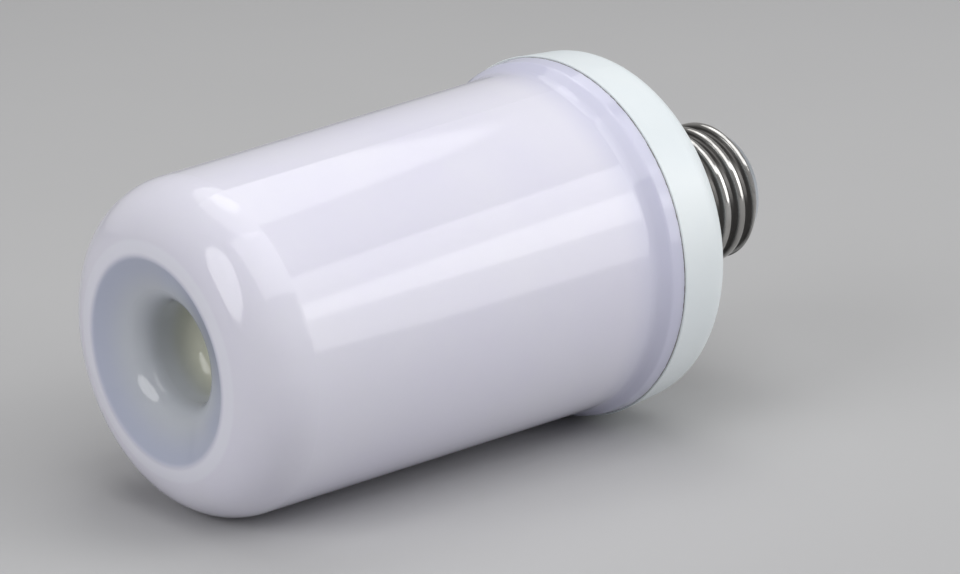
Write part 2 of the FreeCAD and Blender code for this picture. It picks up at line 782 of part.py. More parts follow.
def make_leads():
    live = route_points(LIVE_ROUTE, board_top, rivet_tail_level)
    keep_shape("live_wire", lead_tube(live, size.wire_radius.value))
    slot_level = neck_top - size.wire_slot_depth + size.wire_radius + size.fit_gap * 2
    neutral = route_points(NEUTRAL_ROUTE, board_top, slot_level)
    neutral.append(Vector(-shell_bore_radius.value, 0, slot_level.value))
    keep_shape("neutral_wire", lead_tube(neutral, size.wire_radius.value))
    leads = []
    for route in TOP_LEAD_ROUTES:
        leads.append(lead_tube(route_points(route, board_level, core_end), size.lead_radius.value))
    keep_shape("top_board_leads", Part.makeCompound(leads))


def build():
    make_cover()
    make_housing()
    make_screw_cap()
    make_insulator()
    make_contact()
    make_core_tube()
    make_flex_board()
    for number in range(1, ROW_COUNT + 1):
        make_led_row(number)
    make_top_board()
    make_driver_board()
    make_screws()
    make_pins()
    for label, spec in STANDING_CANS.items():
        make_can(label, spec)
    for label, spec in CHIPS.items():
        make_chip(label, spec)
    for label, spec in LYING_CANS.items():
        make_lying_can(label, spec)
    make_inductor()
    make_leads()


def check_document():
    """Stop on any failed object or bad shape, before a file is written."""
    doc.recompute()
    for thing in doc.Objects:
        if "Invalid" in thing.State or "Error" in thing.State:
            raise RuntimeError(f"{thing.Label} failed: {thing.State}")
        if thing.TypeId == "Sketcher::SketchObject" and thing.solve() != 0:
            raise RuntimeError(f"{thing.Label} does not solve")
    for node in nodes:
        if node.Shape.isNull() or not node.Shape.isValid() or not node.Shape.Solids:
            raise RuntimeError(f"{node.Label} has no valid solid")


def write_parts():
    os.makedirs("parts", exist_ok=True)
    for node in nodes:
        node.Shape.exportStep(os.path.join("parts", f"{node.Label}.step"))
        solids = len(node.Shape.Solids)
        print(f"{node.Label}: {solids} solid(s), {node.Shape.Volume:.1f} mm3")


build()
check_document()
write_parts()
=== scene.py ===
import logging
import math
import random
from dataclasses import dataclass, field
from enum import Enum
from functools import cache

import bmesh
import bpy
from mathutils import Matrix, Vector, noise


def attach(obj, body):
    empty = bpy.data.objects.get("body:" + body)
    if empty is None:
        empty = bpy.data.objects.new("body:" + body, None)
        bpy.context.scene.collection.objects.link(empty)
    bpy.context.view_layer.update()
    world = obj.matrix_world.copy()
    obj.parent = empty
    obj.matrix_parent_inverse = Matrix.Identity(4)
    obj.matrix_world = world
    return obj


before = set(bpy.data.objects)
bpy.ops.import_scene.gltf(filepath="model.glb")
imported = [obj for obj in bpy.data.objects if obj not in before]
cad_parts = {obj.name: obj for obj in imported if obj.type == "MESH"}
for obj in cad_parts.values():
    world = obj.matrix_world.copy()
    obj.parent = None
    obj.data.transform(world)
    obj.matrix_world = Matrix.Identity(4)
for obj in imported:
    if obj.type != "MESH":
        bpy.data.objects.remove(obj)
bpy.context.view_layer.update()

LOG = logging.getLogger("flame_bulb")
MM = 0.001
FULL_TURN = 2.0 * math.pi
AXIS = Vector((0.0, 0.0, 1.0))
ORIGIN = Vector((0.0, 0.0, 0.0))
WELD_DISTANCE = 1e-7

Colour = tuple[float, float, float]
Point = tuple[float, float, float]
Span = tuple[float, float]
Socket = bpy.types.NodeSocket
Group = bpy.types.ShaderNodeTree


class Sum(Enum):
    """Sums that a Math node can do, by the names used here."""

    ADD = "ADD"
    SUBTRACT = "SUBTRACT"
    MULTIPLY = "MULTIPLY"
    DIVIDE = "DIVIDE"
    POWER = "POWER"
    ABSOLUTE = "ABSOLUTE"
    FRACTION = "FRACT"
    ANGLE = "ARCTAN2"
    LESS = "LESS_THAN"
    GREATER = "GREATER_THAN"
    LOWEST = "MINIMUM"
    HIGHEST = "MAXIMUM"


class NodePen:
    """Adds and joins nodes in one shader tree."""

    def __init__(self, tree: bpy.types.NodeTree) -> None:
        """Take up a tree.

        Args:
            tree: the shader tree that the nodes go into.
        """
        self.tree = tree

    def add(self, kind: str, **inputs: object) -> bpy.types.Node:
        """Add a node and set or link its inputs.

        Args:
            kind: the node's type name.
            inputs: input name, with blanks as underscores, to a value or a socket.

        Returns:
            The new node.
        """
        node = self.tree.nodes.new(kind)
        for name, value in inputs.items():
            self.feed(node.inputs[name.replace("_", " ")], value)
        return node

    def feed(self, socket: Socket, value: object) -> None:
        """Link a socket to an input, or set the input's own value.

        Args:
            socket: the input.
            value: an output socket, a colour, a vector or a number.
        """
        if isinstance(value, bpy.types.NodeSocket):
            self.tree.links.new(value, socket)
        elif isinstance(value, tuple) and socket.type == "RGBA":
            socket.default_value = (*value[:3], 1.0)
        else:
            socket.default_value = value

    def sum(self, kind: Sum, first: object, second: object = 0.0) -> Socket:
        """One sum of two numbers.

        Args:
            kind: which sum.
            first: a socket or a number.
            second: a socket or a number.

        Returns:
            The result's socket.
        """
        node = self.tree.nodes.new("ShaderNodeMath")
        node.operation = kind.value
        self.feed(node.inputs[0], first)
        self.feed(node.inputs[1], second)
        return node.outputs[0]

    def times(self, first: object, second: object) -> Socket:
        """Two numbers multiplied."""
        return self.sum(Sum.MULTIPLY, first, second)

    def plus(self, first: object, second: object) -> Socket:
        """Two numbers added."""
        return self.sum(Sum.ADD, first, second)

    def minus(self, first: object, second: object) -> Socket:
        """The second number taken from the first."""
        return self.sum(Sum.SUBTRACT, first, second)

    def blend(self, mask: object, under: object, over: object) -> Socket:
        """Mix two colours by a mask.

        Args:
            mask: 0 for the first colour, 1 for the second.
            under: the first colour.
            over: the second colour.

        Returns:
            The mixed colour.
        """
        node = self.tree.nodes.new("ShaderNodeMix")
        node.data_type = "RGBA"
        self.feed(node.inputs[0], mask)
        self.feed(node.inputs[6], under)
        self.feed(node.inputs[7], over)
        return node.outputs[2]

    def ramp(
        self, value: object, low: object, high: object, first: float = 0.0, last: float = 1.0
    ) -> Socket:
        """Bring a range of a value smoothly onto another, clamped.

        Args:
            value: the value that is read.
            low: the value that gives first.
            high: the value that gives last.
            first: the result at low.
            last: the result at high.

        Returns:
            The result's socket.
        """
        node = self.tree.nodes.new("ShaderNodeMapRange")
        node.interpolation_type = "SMOOTHSTEP"
        for place, number in enumerate((value, low, high, first, last)):
            self.feed(node.inputs[place], number)
        return node.outputs[0]

    def fall(self, value: object, low: object, high: object) -> Socket:
        """1 up to low, falling smoothly to 0 at high."""
        return self.ramp(value, low, high, 1.0, 0.0)

    def noise(
        self, coords: Socket, scale: object, detail: float = 3.0, roughness: float = 0.5
    ) -> Socket:
        """Cloudy noise from 0 to 1.

        Args:
            coords: where it is read.
            scale: cycles to the metre.
            detail: octaves.
            roughness: weight of the finer octaves.

        Returns:
            The value's socket.
        """
        node = self.add(
            "ShaderNodeTexNoise", Vector=coords, Scale=scale, Detail=detail, Roughness=roughness
        )
        return node.outputs[0]

    def split(self, vector: Socket) -> tuple[Socket, Socket, Socket]:
        """The three parts of a vector."""
        node = self.add("ShaderNodeSeparateXYZ", Vector=vector)
        return node.outputs[0], node.outputs[1], node.outputs[2]

    def centred(self, vector: Socket, centre: Point, turn: float = 0.0) -> Socket:
        """Coordinates seen from a piece's own centre, through Mapping nodes.

        Args:
            vector: coordinates.
            centre: the piece's centre.
            turn: degrees that the piece is turned about Z.

        Returns:
            The new coordinates.
        """
        x, y, z = centre
        moved = self.add("ShaderNodeMapping", Vector=vector, Location=(-x, -y, -z))
        back = (0.0, 0.0, -math.radians(turn))
        return self.add("ShaderNodeMapping", Vector=moved.outputs[0], Rotation=back).outputs[0]


class Effects:
    """Node groups that several finishes share. Each is built on its first use and kept."""

    BROAD_SCALE = 0.07
    FINE_SHARE = 0.4
    SPREAD_GAIN = 4.0
    LEAST_ROUGHNESS = 0.02
    DRIFT_EDGES: Span = (0.32, 0.68)
    SPECK_CHOICE = 0.72
    RUB_FINENESS = 9000.0
    RUB_PARTS = 11.0
    RUB_EDGES: Span = (0.56, 0.76)

    @staticmethod
    def _start(
        name: str, inputs: dict[str, object], outputs: dict[str, str]
    ) -> tuple[NodePen, bpy.types.Node, bpy.types.Node]:
        """Make an empty group with its sockets.

        Args:
            name: the group's name.
            inputs: input name to its default: a number, a colour, or None for a vector.
            outputs: output name to its socket kind.

        Returns:
            A pen for the group, its input node and its output node.
        """
        tree = bpy.data.node_groups.new(name, "ShaderNodeTree")
        for label, value in inputs.items():
            kind = {type(None): "Vector", tuple: "Color", float: "Float"}[type(value)]
            socket = tree.interface.new_socket(
                label, in_out="INPUT", socket_type=f"NodeSocket{kind}"
            )
            if value is not None:
                socket.default_value = (*value, 1.0) if kind == "Color" else value
        for label, kind in outputs.items():
            tree.interface.new_socket(label, in_out="OUTPUT", socket_type=f"NodeSocket{kind}")
        return NodePen(tree), tree.nodes.new("NodeGroupInput"), tree.nodes.new("NodeGroupOutput")

    @cache
    def grain(self) -> Group:
        """Even surface grain: a roughness that drifts, and a fine height.

        Returns:
            The group, with outputs Roughness and Height.
        """
        pen, source, out = self._start(
            "surface_grain",
            {"Coords": None, "Roughness": 0.3, "Spread": 0.05, "Scale": 900.0},
            {"Roughness": "Float", "Height": "Float"},
        )
        coords, middle, spread, scale = source.outputs[:4]
        fine = pen.noise(coords, scale, detail=4.0, roughness=0.6)
        broad = pen.noise(coords, pen.times(scale, self.BROAD_SCALE))
        broad_share = 1.0 - self.FINE_SHARE
        both = pen.plus(pen.times(fine, self.FINE_SHARE), pen.times(broad, broad_share))
        drift = pen.times(pen.minus(both, 0.5), pen.times(spread, self.SPREAD_GAIN))
        rough = pen.sum(Sum.HIGHEST, pen.plus(middle, drift), self.LEAST_ROUGHNESS)
        pen.feed(out.inputs["Roughness"], rough)
        pen.feed(out.inputs["Height"], fine)
        return pen.tree

    @cache
    def tone(self) -> Group:
        """Slow drift between two near tones.

        Returns:
            The group, with output Color.
        """
        pen, source, out = self._start(
            "tone_drift",
            {"Coords": None, "Tone": (0.8, 0.8, 0.8), "Other": (0.7, 0.7, 0.7), "Scale": 60.0},
            {"Color": "Color"},
        )
        coords, tone, other, scale = source.outputs[:4]
        cloud = pen.noise(coords, scale, detail=4.0, roughness=0.55)
        mask = pen.ramp(cloud, *self.DRIFT_EDGES)
        pen.feed(out.inputs["Color"], pen.blend(mask, tone, other))
        return pen.tree

    @cache
    def specks(self) -> Group:
        """Scattered small specks.

        Returns:
            The group, with output Mask.
        """
        pen, source, out = self._start(
            "specks", {"Coords": None, "Scale": 400.0, "Size": 0.12}, {"Mask": "Float"}
        )
        coords, scale, size = source.outputs[:3]
        cells = pen.add("ShaderNodeTexVoronoi", Vector=coords, Scale=scale)
        drawn = pen.split(cells.outputs["Color"])[0]
        chosen = pen.sum(Sum.GREATER, drawn, self.SPECK_CHOICE)
        near = pen.sum(Sum.LESS, cells.outputs["Distance"], size)
        pen.feed(out.inputs["Mask"], pen.times(chosen, near))
        return pen.tree

    @cache
    def around(self) -> Group:
        """Where a point is about the bulb's axis.

        Returns:
            The group, with outputs Radius and Level in metres, and Turn from 0 to 1.
        """
        pen, source, out = self._start(
            "about_the_axis",
            {"Coords": None},
            {"Radius": "Float", "Level": "Float", "Turn": "Float"},
        )
        x, y, z = pen.split(source.outputs["Coords"])
        squares = pen.plus(pen.times(x, x), pen.times(y, y))
        turn = pen.sum(Sum.DIVIDE, pen.sum(Sum.ANGLE, y, x), FULL_TURN)
        pen.feed(out.inputs["Radius"], pen.sum(Sum.POWER, squares, 0.5))
        pen.feed(out.inputs["Level"], z)
        pen.feed(out.inputs["Turn"], pen.plus(turn, 0.5))
        return pen.tree

    @cache
    def band(self) -> Group:
        """Mask that is 1 between two values and fades outside them.

        Returns:
            The group, with output Mask.
        """
        pen, source, out = self._start(
            "soft_band",
            {"Value": 0.0, "Low": 0.0, "High": 1.0, "Fade": 0.001},
            {"Mask": "Float"},
        )
        value, low, high, fade = source.outputs[:4]
        rise = pen.ramp(value, pen.minus(low, fade), low)
        fall = pen.fall(value, high, pen.plus(high, fade))
        pen.feed(out.inputs["Mask"], pen.times(rise, fall))
        return pen.tree

    @cache
    def rubs(self) -> Group:
        """Fine hairline rubs that run round the axis, as on turned or screwed metal.

        Returns:
            The group, with output Mask.
        """
        pen, source, out = self._start(
            "hairline_rubs", {"Coords": None, "Scale": 1.0}, {"Mask": "Float"}
        )
        where = pen.add("ShaderNodeGroup")
        where.node_tree = self.around()
        pen.feed(where.inputs["Coords"], source.outputs["Coords"])
        fineness = pen.times(source.outputs["Scale"], self.RUB_FINENESS)
        spread = pen.add("ShaderNodeCombineXYZ")
        pen.feed(spread.inputs[0], pen.times(where.outputs["Radius"], fineness))
        pen.feed(spread.inputs[1], pen.times(where.outputs["Turn"], self.RUB_PARTS))
        pen.feed(spread.inputs[2], pen.times(where.outputs["Level"], fineness))
        cloud = pen.noise(spread.outputs[0], 1.0, detail=4.0, roughness=0.65)
        pen.feed(out.inputs["Mask"], pen.ramp(cloud, *self.RUB_EDGES))
        return pen.tree


EFFECTS = Effects()


class Recipe(NodePen):
    """One material on its way: its shader, and the coordinates that its patterns read."""

    def __init__(self, name: str) -> None:
        """Start a material.

        Args:
            name: the material's name.
        """
        self.material = bpy.data.materials.new(name)
        self.material.use_nodes = True
        super().__init__(self.material.node_tree)
        self.tree.nodes.clear()
        self.coords = self.add("ShaderNodeTexCoord").outputs["Object"]
        self.shader = self.add("ShaderNodeBsdfPrincipled")
        self.output = self.add("ShaderNodeOutputMaterial", Surface=self.shader.outputs[0])
        self._where: bpy.types.Node | None = None

    def effect(self, group: Group, **inputs: object) -> bpy.types.Node:
        """Place a shared group with this material's own values.

        Args:
            group: the node group.
            inputs: input name to a value or a socket.

        Returns:
            The group's node.
        """
        node = self.tree.nodes.new("ShaderNodeGroup")
        node.node_tree = group
        for name, value in inputs.items():
            self.feed(node.inputs[name], value)
        return node

    def set(self, **values: object) -> None:
        """Set or link the shader's inputs by name, with blanks as underscores."""
        for name, value in values.items():
            self.feed(self.shader.inputs[name.replace("_", " ")], value)

    def where(self, output: str) -> Socket:
        """Where a point is about the bulb's axis.

        Args:
            output: Radius, Level or Turn.

        Returns:
            The value's socket.
        """
        if self._where is None:
            self._where = self.effect(EFFECTS.around(), Coords=self.coords)
        return self._where.outputs[output]

    def band(self, value: Socket, low: float, high: float, fade: float) -> Socket:
        """Mask of a soft band of a value."""
        node = self.effect(EFFECTS.band(), Value=value, Low=low, High=high, Fade=fade)
        return node.outputs["Mask"]

    def tone(self, tone: object, other: object, scale: float) -> Socket:
        """Colour that drifts between two tones."""
        node = self.effect(EFFECTS.tone(), Coords=self.coords, Tone=tone, Other=other, Scale=scale)
        return node.outputs["Color"]

    def grain(self, roughness: float, spread: float, scale: float) -> tuple[Socket, Socket]:
        """Drifting roughness and fine height."""
        node = self.effect(
            EFFECTS.grain(), Coords=self.coords, Roughness=roughness, Spread=spread, Scale=scale
        )
        return node.outputs["Roughness"], node.outputs["Height"]

    def specks(self, scale: float, size: float) -> Socket:
        """Mask of scattered specks."""
        node = self.effect(EFFECTS.specks(), Coords=self.coords, Scale=scale, Size=size)
        return node.outputs["Mask"]

    def rubs(self, scale: float) -> Socket:
        """Mask of hairline rubs round the axis."""
        return self.effect(EFFECTS.rubs(), Coords=self.coords, Scale=scale).outputs["Mask"]

    def bump(self, height: Socket, depth: float, strength: float) -> None:
        """Lead a height to the shader's normal.

        Args:
            height: 0 to 1.
            depth: what 1 stands for, in metres.
            strength: share of the bump that shows.
        """
        node = self.add("ShaderNodeBump", Strength=strength, Distance=depth, Height=height)
        self.set(Normal=node.outputs[0])


@dataclass(frozen=True)
class Finish:
    """A named surface finish. Its material is made when it is first asked for."""

    name: str

    def paint(self, recipe: Recipe) -> None:
        """Fill in the material's nodes."""
        raise NotImplementedError

    def material(self) -> bpy.types.Material:
        """The finish's one material.

        Returns:
            The material, built on the first call.
        """
        found = bpy.data.materials.get(self.name)
        if found is None:
            recipe = Recipe(self.name)
            self.paint(recipe)
            found = recipe.material
        return found


@dataclass(frozen=True)
class MilkyPlastic(Finish):
    """Polished opal plastic of the cover, with what shines through its thin well floor.

    Radii are from the bulb's axis and levels from the rim of its dished end.
    """

    tone: Colour = (0.755, 0.742, 0.862)
    warm_tone: Colour = (0.775, 0.765, 0.865)
    # Flange: a lavender tint of its thicker plastic, darkened further as painted shade of its
    # fillet.
    flange_tint_and_shade: Colour = (0.61, 0.615, 0.77)
    flange_tint_and_shade_levels: Span = (77.0 * MM, 87.0 * MM)
    flange_tint_and_shade_share: float = 0.85
    front_levels: Span = (16.0 * MM, 16.5 * MM)
    # Painted highlight: a lighter band on the crest of the dished end's rim.
    rim_highlight: Colour = (0.80, 0.80, 0.90)
    rim_highlight_radii: Span = (18.8 * MM, 20.3 * MM)
    rim_highlight_fade: float = 0.8 * MM
    # Painted shade inside the dish: greys darker than the barrel, from the dish's wide part to the
    # throat of the well.
    throat_shade: Colour = (0.54, 0.565, 0.615)
    dish_shade: Colour = (0.47, 0.50, 0.62)
    dish_radii: Span = (10.5 * MM, 16.9 * MM)
    mouth_radii: Span = (17.2 * MM, 18.7 * MM)
    board_glow: Colour = (0.55, 0.56, 0.47)
    glow_levels: Span = (8.5 * MM, 14.0 * MM)
    gap_shade: Colour = (0.12, 0.10, 0.085)
    gap_levels: Span = (89.44 * MM, 90.6 * MM)
    gap_fade: float = 0.1 * MM
    patch_scale: float = 520.0
    patch_edges: Span = (0.42, 0.60)
    patch_share: float = 0.85
    film_share: float = 0.06
    light_spread: Colour = (1.0, 0.92, 1.05)

    def paint(self, recipe: Recipe) -> None:
        """Opal body, a lavender tint of the thicker flange with painted shade at its fillet, a
        painted highlight on the rim, painted shade inside the dish, board glow in the well, grime
        along the seam.

        Args:
            recipe: the material on its way.
        """
        radius, level = recipe.where("Radius"), recipe.where("Level")
        body = recipe.tone(self.tone, self.warm_tone, scale=34.0)
        # Flange: lavender tint of the thicker plastic, with painted shade of its fillet.
        flange_tint_and_shade_mask = recipe.times(recipe.ramp(level, *self.flange_tint_and_shade_levels), self.flange_tint_and_shade_share)
        body = recipe.blend(flange_tint_and_shade_mask, body, self.flange_tint_and_shade)
        front = recipe.fall(level, *self.front_levels)
        # Painted highlight: a lighter band round the rim's crest.
        rim = recipe.band(radius, *self.rim_highlight_radii, fade=self.rim_highlight_fade)
        body = recipe.blend(recipe.times(rim, front), body, self.rim_highlight)
        # Painted shade: the inside of the dish darkened, blending from the throat's grey to the
        # dish's grey outward.
        inside = recipe.times(recipe.fall(radius, *self.mouth_radii), front)
        depth = recipe.ramp(radius, *self.dish_radii)
        bowl = recipe.blend(depth, self.throat_shade, self.dish_shade)
        body = recipe.blend(inside, body, bowl)
        floor = recipe.times(recipe.ramp(level, *self.glow_levels), inside)
        body = recipe.blend(floor, body, self.board_glow)
        seam = recipe.band(level, *self.gap_levels, fade=self.gap_fade)
        clouds = recipe.noise(recipe.coords, self.patch_scale, detail=4.0, roughness=0.7)
        patches = recipe.times(recipe.ramp(clouds, *self.patch_edges), self.patch_share)
        grime = recipe.times(seam, recipe.plus(patches, self.film_share))
        body = recipe.blend(grime, body, self.gap_shade)
        roughness, height = recipe.grain(roughness=0.085, spread=0.018, scale=700.0)
        recipe.set(Base_Color=body, Roughness=roughness, IOR=1.49, Subsurface_Weight=0.22)
        recipe.set(Subsurface_Scale=2.2 * MM, Subsurface_Radius=self.light_spread)
        recipe.bump(height, depth=0.002 * MM, strength=0.35)


@dataclass(frozen=True)
class SatinPlastic(Finish):
    """Opaque moulded plastic with a fine satin grain."""

    tone: Colour
    other_tone: Colour
    roughness: float = 0.36
    spread: float = 0.05
    speck_tone: Colour = (0.35, 0.34, 0.33)
    speck_share: float = 0.35
    grain_depth: float = 0.006 * MM

    def paint(self, recipe: Recipe) -> None:
        """Drifting tone, rare specks and a satin bump.

        Args:
            recipe: the material on its way.
        """
        body = recipe.tone(self.tone, self.other_tone, scale=45.0)
        specks = recipe.times(recipe.specks(scale=230.0, size=0.035), self.speck_share)
        body = recipe.blend(specks, body, self.speck_tone)
        roughness, height = recipe.grain(self.roughness, self.spread, scale=1500.0)
        recipe.set(Base_Color=body, Roughness=roughness, IOR=1.5)
        recipe.bump(height, self.grain_depth, strength=0.5)


@dataclass(frozen=True)
class PlatedMetal(Finish):
    """Plated or bare metal, rubbed round the axis it turns on."""

    tone: Colour
    dull_tone: Colour
    roughness: float = 0.14
    rub_scale: float = 1.0
    rub_share: float = 0.35
    rub_roughness: float = 0.12
    rub_height: float = 0.5

    def paint(self, recipe: Recipe) -> None:
        """Bright plating with hairline rubs and duller patches.

        Args:
            recipe: the material on its way.
        """
        rubs = recipe.rubs(self.rub_scale)
        roughness, height = recipe.grain(self.roughness, spread=0.03, scale=1100.0)
        body = recipe.tone(self.tone, self.dull_tone, scale=120.0)
        body = recipe.blend(recipe.times(rubs, self.rub_share), body, self.dull_tone)
        rough = recipe.plus(roughness, recipe.times(rubs, self.rub_roughness))
        recipe.set(Base_Color=body, Roughness=rough, Metallic=1.0)
        height = recipe.minus(height, recipe.times(rubs, self.rub_height))
        recipe.bump(height, depth=0.004 * MM, strength=0.4)


@dataclass(frozen=True)
class ScrewShell(PlatedMetal):
    """Bright nickel of the screw shell, with punched marks round its skirt."""

    rub_roughness: float = 0.10
    # Root tone: dusty roots of the thread, made near black by painted shade and painted dark
    # reflection; the groove after the last turn takes it too.
    root_dust_and_shade: Colour = (0.03, 0.028, 0.027)
    root_dust_and_shade_share: float = 0.92
    thread_radii: Span = (12.5 * MM, 13.12 * MM)
    thread_levels: Span = (110.5 * MM, 127.0 * MM)
    thread_fade: float = 0.4 * MM
    # Painted shade: a dark band in the groove after the last turn.
    groove_levels: Span = (127.5 * MM, 127.9 * MM)
    groove_shade_share: float = 0.8
    tinned_tone: Colour = (0.66, 0.72, 0.78)
    tinned_levels: Span = (128.1 * MM, 128.25 * MM)
    dull_roughness: float = 0.18
    edge_fade: float = 0.15 * MM
    mark_count: float = 8.0
    mark_level: float = 108.0 * MM
    mark_half: float = 0.55 * MM
    mark_fade: float = 0.012
    skirt_radius: float = 13.25 * MM
    grain_height: float = 0.01

    def paint(self, recipe: Recipe) -> None:
        """Plating, dusty thread roots darkened further by painted shade, painted shade in the
        groove after the last turn, and a ring of punched marks.

        Args:
            recipe: the material on its way.
        """
        radius, level = recipe.where("Radius"), recipe.where("Level")
        roughness, height = recipe.grain(self.roughness, spread=0.025, scale=1300.0)
        body = recipe.tone(self.tone, self.dull_tone, scale=150.0)
        on_thread = recipe.band(level, *self.thread_levels, fade=self.thread_fade)
        # Dusty roots with painted shade: the thread darkened from its crests towards its roots.
        root_dust_and_shade_mask = recipe.times(recipe.fall(radius, *self.thread_radii), on_thread)
        body = recipe.blend(recipe.times(root_dust_and_shade_mask, self.root_dust_and_shade_share), body, self.root_dust_and_shade)
        # Painted shade: the groove after the last turn darkened.
        groove = recipe.band(level, *self.groove_levels, fade=self.edge_fade)
        body = recipe.blend(recipe.times(groove, self.groove_shade_share), body, self.root_dust_and_shade)
        tinned = recipe.ramp(level, *self.tinned_levels)
        body = recipe.blend(tinned, body, self.tinned_tone)
        rubs = recipe.times(recipe.rubs(self.rub_scale), self.rub_roughness)
        dull = recipe.times(recipe.sum(Sum.HIGHEST, root_dust_and_shade_mask, tinned), self.dull_roughness)
        rough = recipe.plus(recipe.plus(roughness, rubs), dull)
        recipe.set(Base_Color=body, Roughness=rough, Metallic=1.0)
        around = recipe.sum(Sum.FRACTION, recipe.times(recipe.where("Turn"), self.mark_count))
        half_turn = self.mark_half / (FULL_TURN * self.skirt_radius) * self.mark_count
        sideways = recipe.band(around, 0.5 - half_turn, 0.5 + half_turn, self.mark_fade)
        foot, top = self.mark_level - self.mark_half, self.mark_level + self.mark_half
        mark = recipe.times(sideways, recipe.band(level, foot, top, self.edge_fade))
        height = recipe.minus(recipe.times(height, self.grain_height), mark)
        recipe.bump(height, depth=0.25 * MM, strength=0.6)


@dataclass(frozen=True)
class BlackGlaze(Finish):
    """Black moulded insulator, glossy, with faint flow lines."""

    tone: Colour = (0.018, 0.018, 0.02)
    other_tone: Colour = (0.045, 0.042, 0.04)

    def paint(self, recipe: Recipe) -> None:
        """Near black with swirls and dusty patches.

        Args:
            recipe: the material on its way.
        """
        body = recipe.tone(self.tone, self.other_tone, scale=260.0)
        roughness, height = recipe.grain(roughness=0.22, spread=0.06, scale=800.0)
        recipe.set(Base_Color=body, Roughness=roughness, IOR=1.52)
        recipe.bump(height, depth=0.01 * MM, strength=0.5)


@dataclass(frozen=True)
class Laminate(Finish):
    """Circuit board: solder mask over copper tracks, with scattered pads."""

    mask_tone: Colour
    copper_tone: Colour
    track_scale: float = 320.0
    roughness: float = 0.32
    track_edges: Span = (0.44, 0.5)
    track_share: float = 0.5
    pad_tone: Colour = (0.62, 0.58, 0.5)
    pad_scale: float = 1.7
    grain_height: float = 0.1

    def paint(self, recipe: Recipe) -> None:
        """Mask colour with lighter tracks that stand slightly proud.

        Args:
            recipe: the material on its way.
        """
        cells = recipe.add("ShaderNodeTexVoronoi", Vector=recipe.coords, Scale=self.track_scale)
        cells.distance = "MANHATTAN"
        cells.feature = "F1"
        tracks = recipe.ramp(cells.outputs["Distance"], *self.track_edges)
        copper = recipe.times(tracks, self.track_share)
        body = recipe.blend(copper, self.mask_tone, self.copper_tone)
        pads = recipe.specks(self.track_scale * self.pad_scale, size=0.2)
        body = recipe.blend(pads, body, self.pad_tone)
        roughness, height = recipe.grain(self.roughness, spread=0.05, scale=900.0)
        recipe.set(Base_Color=body, Roughness=roughness, IOR=1.55)
        height = recipe.plus(tracks, recipe.times(height, self.grain_height))
        recipe.bump(height, depth=0.04 * MM, strength=0.6)


@dataclass(frozen=True)
class FlexFilm(Finish):
    """Rolled film under the LEDs: white cover lay with copper feeds along and round it.

    Rows and turns of its pads and feeds are shares of one LED's row and column.
    """

    film_tone: Colour = (0.80, 0.78, 0.70)
    aged_tone: Colour = (0.76, 0.73, 0.62)
    copper_tone: Colour = (0.74, 0.50, 0.28)
    columns: float = 14.0
    row_start: float = 25.0 * MM
    row_pitch: float = 8.5 * MM
    feed_turns: Span = (0.34, 0.44)
    pad_rows: tuple[Span, Span] = ((0.22, 0.29), (0.71, 0.78))
    pad_turns: tuple[Span, Span] = ((-0.1, 0.14), (0.86, 1.1))
    fade: float = 0.01
    grain_height: float = 0.1

    def paint(self, recipe: Recipe) -> None:
        """Feeds beside each column, and pads above and below each LED.

        Args:
            recipe: the material on its way.
        """
        turn = recipe.sum(Sum.FRACTION, recipe.times(recipe.where("Turn"), self.columns))
        feed = recipe.band(turn, *self.feed_turns, fade=self.fade)
        row = recipe.minus(recipe.where("Level"), self.row_start - 0.5 * self.row_pitch)
        row = recipe.sum(Sum.FRACTION, recipe.sum(Sum.DIVIDE, row, self.row_pitch))
        pads = recipe.plus(*(recipe.band(row, *span, self.fade) for span in self.pad_rows))
        beside = recipe.plus(*(recipe.band(turn, *span, self.fade) for span in self.pad_turns))
        copper = recipe.sum(Sum.LOWEST, recipe.plus(feed, recipe.times(pads, beside)), 1.0)
        body = recipe.tone(self.film_tone, self.aged_tone, scale=90.0)
        body = recipe.blend(copper, body, self.copper_tone)
        roughness, height = recipe.grain(roughness=0.38, spread=0.05, scale=900.0)
        recipe.set(Base_Color=body, Roughness=roughness, IOR=1.5)
        height = recipe.plus(copper, recipe.times(height, self.grain_height))
        recipe.bump(height, depth=0.03 * MM, strength=0.7)


@dataclass(frozen=True)
class Phosphor(Finish):
    """Yellow phosphor gel of an LED window."""

    tone: Colour = (0.88, 0.62, 0.07)
    other_tone: Colour = (0.93, 0.72, 0.16)

    def paint(self, recipe: Recipe) -> None:
        """Grainy yellow gel.

        Args:
            recipe: the material on its way.
        """
        body = recipe.tone(self.tone, self.other_tone, scale=1800.0)
        roughness, height = recipe.grain(roughness=0.42, spread=0.08, scale=4000.0)
        recipe.set(Base_Color=body, Roughness=roughness, IOR=1.45)
        recipe.bump(height, depth=0.02 * MM, strength=0.6)


@dataclass(frozen=True)
class ChipEpoxy(Finish):
    """Black epoxy body over tinned legs, told apart by height above the board."""

    tone: Colour = (0.028, 0.028, 0.03)
    dusty_tone: Colour = (0.05, 0.05, 0.052)
    leg_tone: Colour = (0.72, 0.71, 0.68)
    leg_levels: Span = (95.12 * MM, 95.17 * MM)
    leg_reach: Span = (0.02 * MM, 0.06 * MM)
    body_half: float = 1.95 * MM
    centre: float = 0.0

    def paint(self, recipe: Recipe) -> None:
        """Epoxy, with metal where the legs stand out past the body.

        Args:
            recipe: the material on its way.
        """
        y = recipe.split(recipe.coords)[1]
        side = recipe.sum(Sum.ABSOLUTE, recipe.minus(y, self.centre))
        out = recipe.ramp(side, *(self.body_half + reach for reach in self.leg_reach))
        leg = recipe.times(out, recipe.fall(recipe.where("Level"), *self.leg_levels))
        body = recipe.tone(self.tone, self.dusty_tone, scale=500.0)
        body = recipe.blend(leg, body, self.leg_tone)
        roughness, height = recipe.grain(roughness=0.55, spread=0.08, scale=3000.0)
        recipe.set(Base_Color=body, Roughness=roughness, Metallic=leg)
        recipe.bump(height, depth=0.02 * MM, strength=0.7)


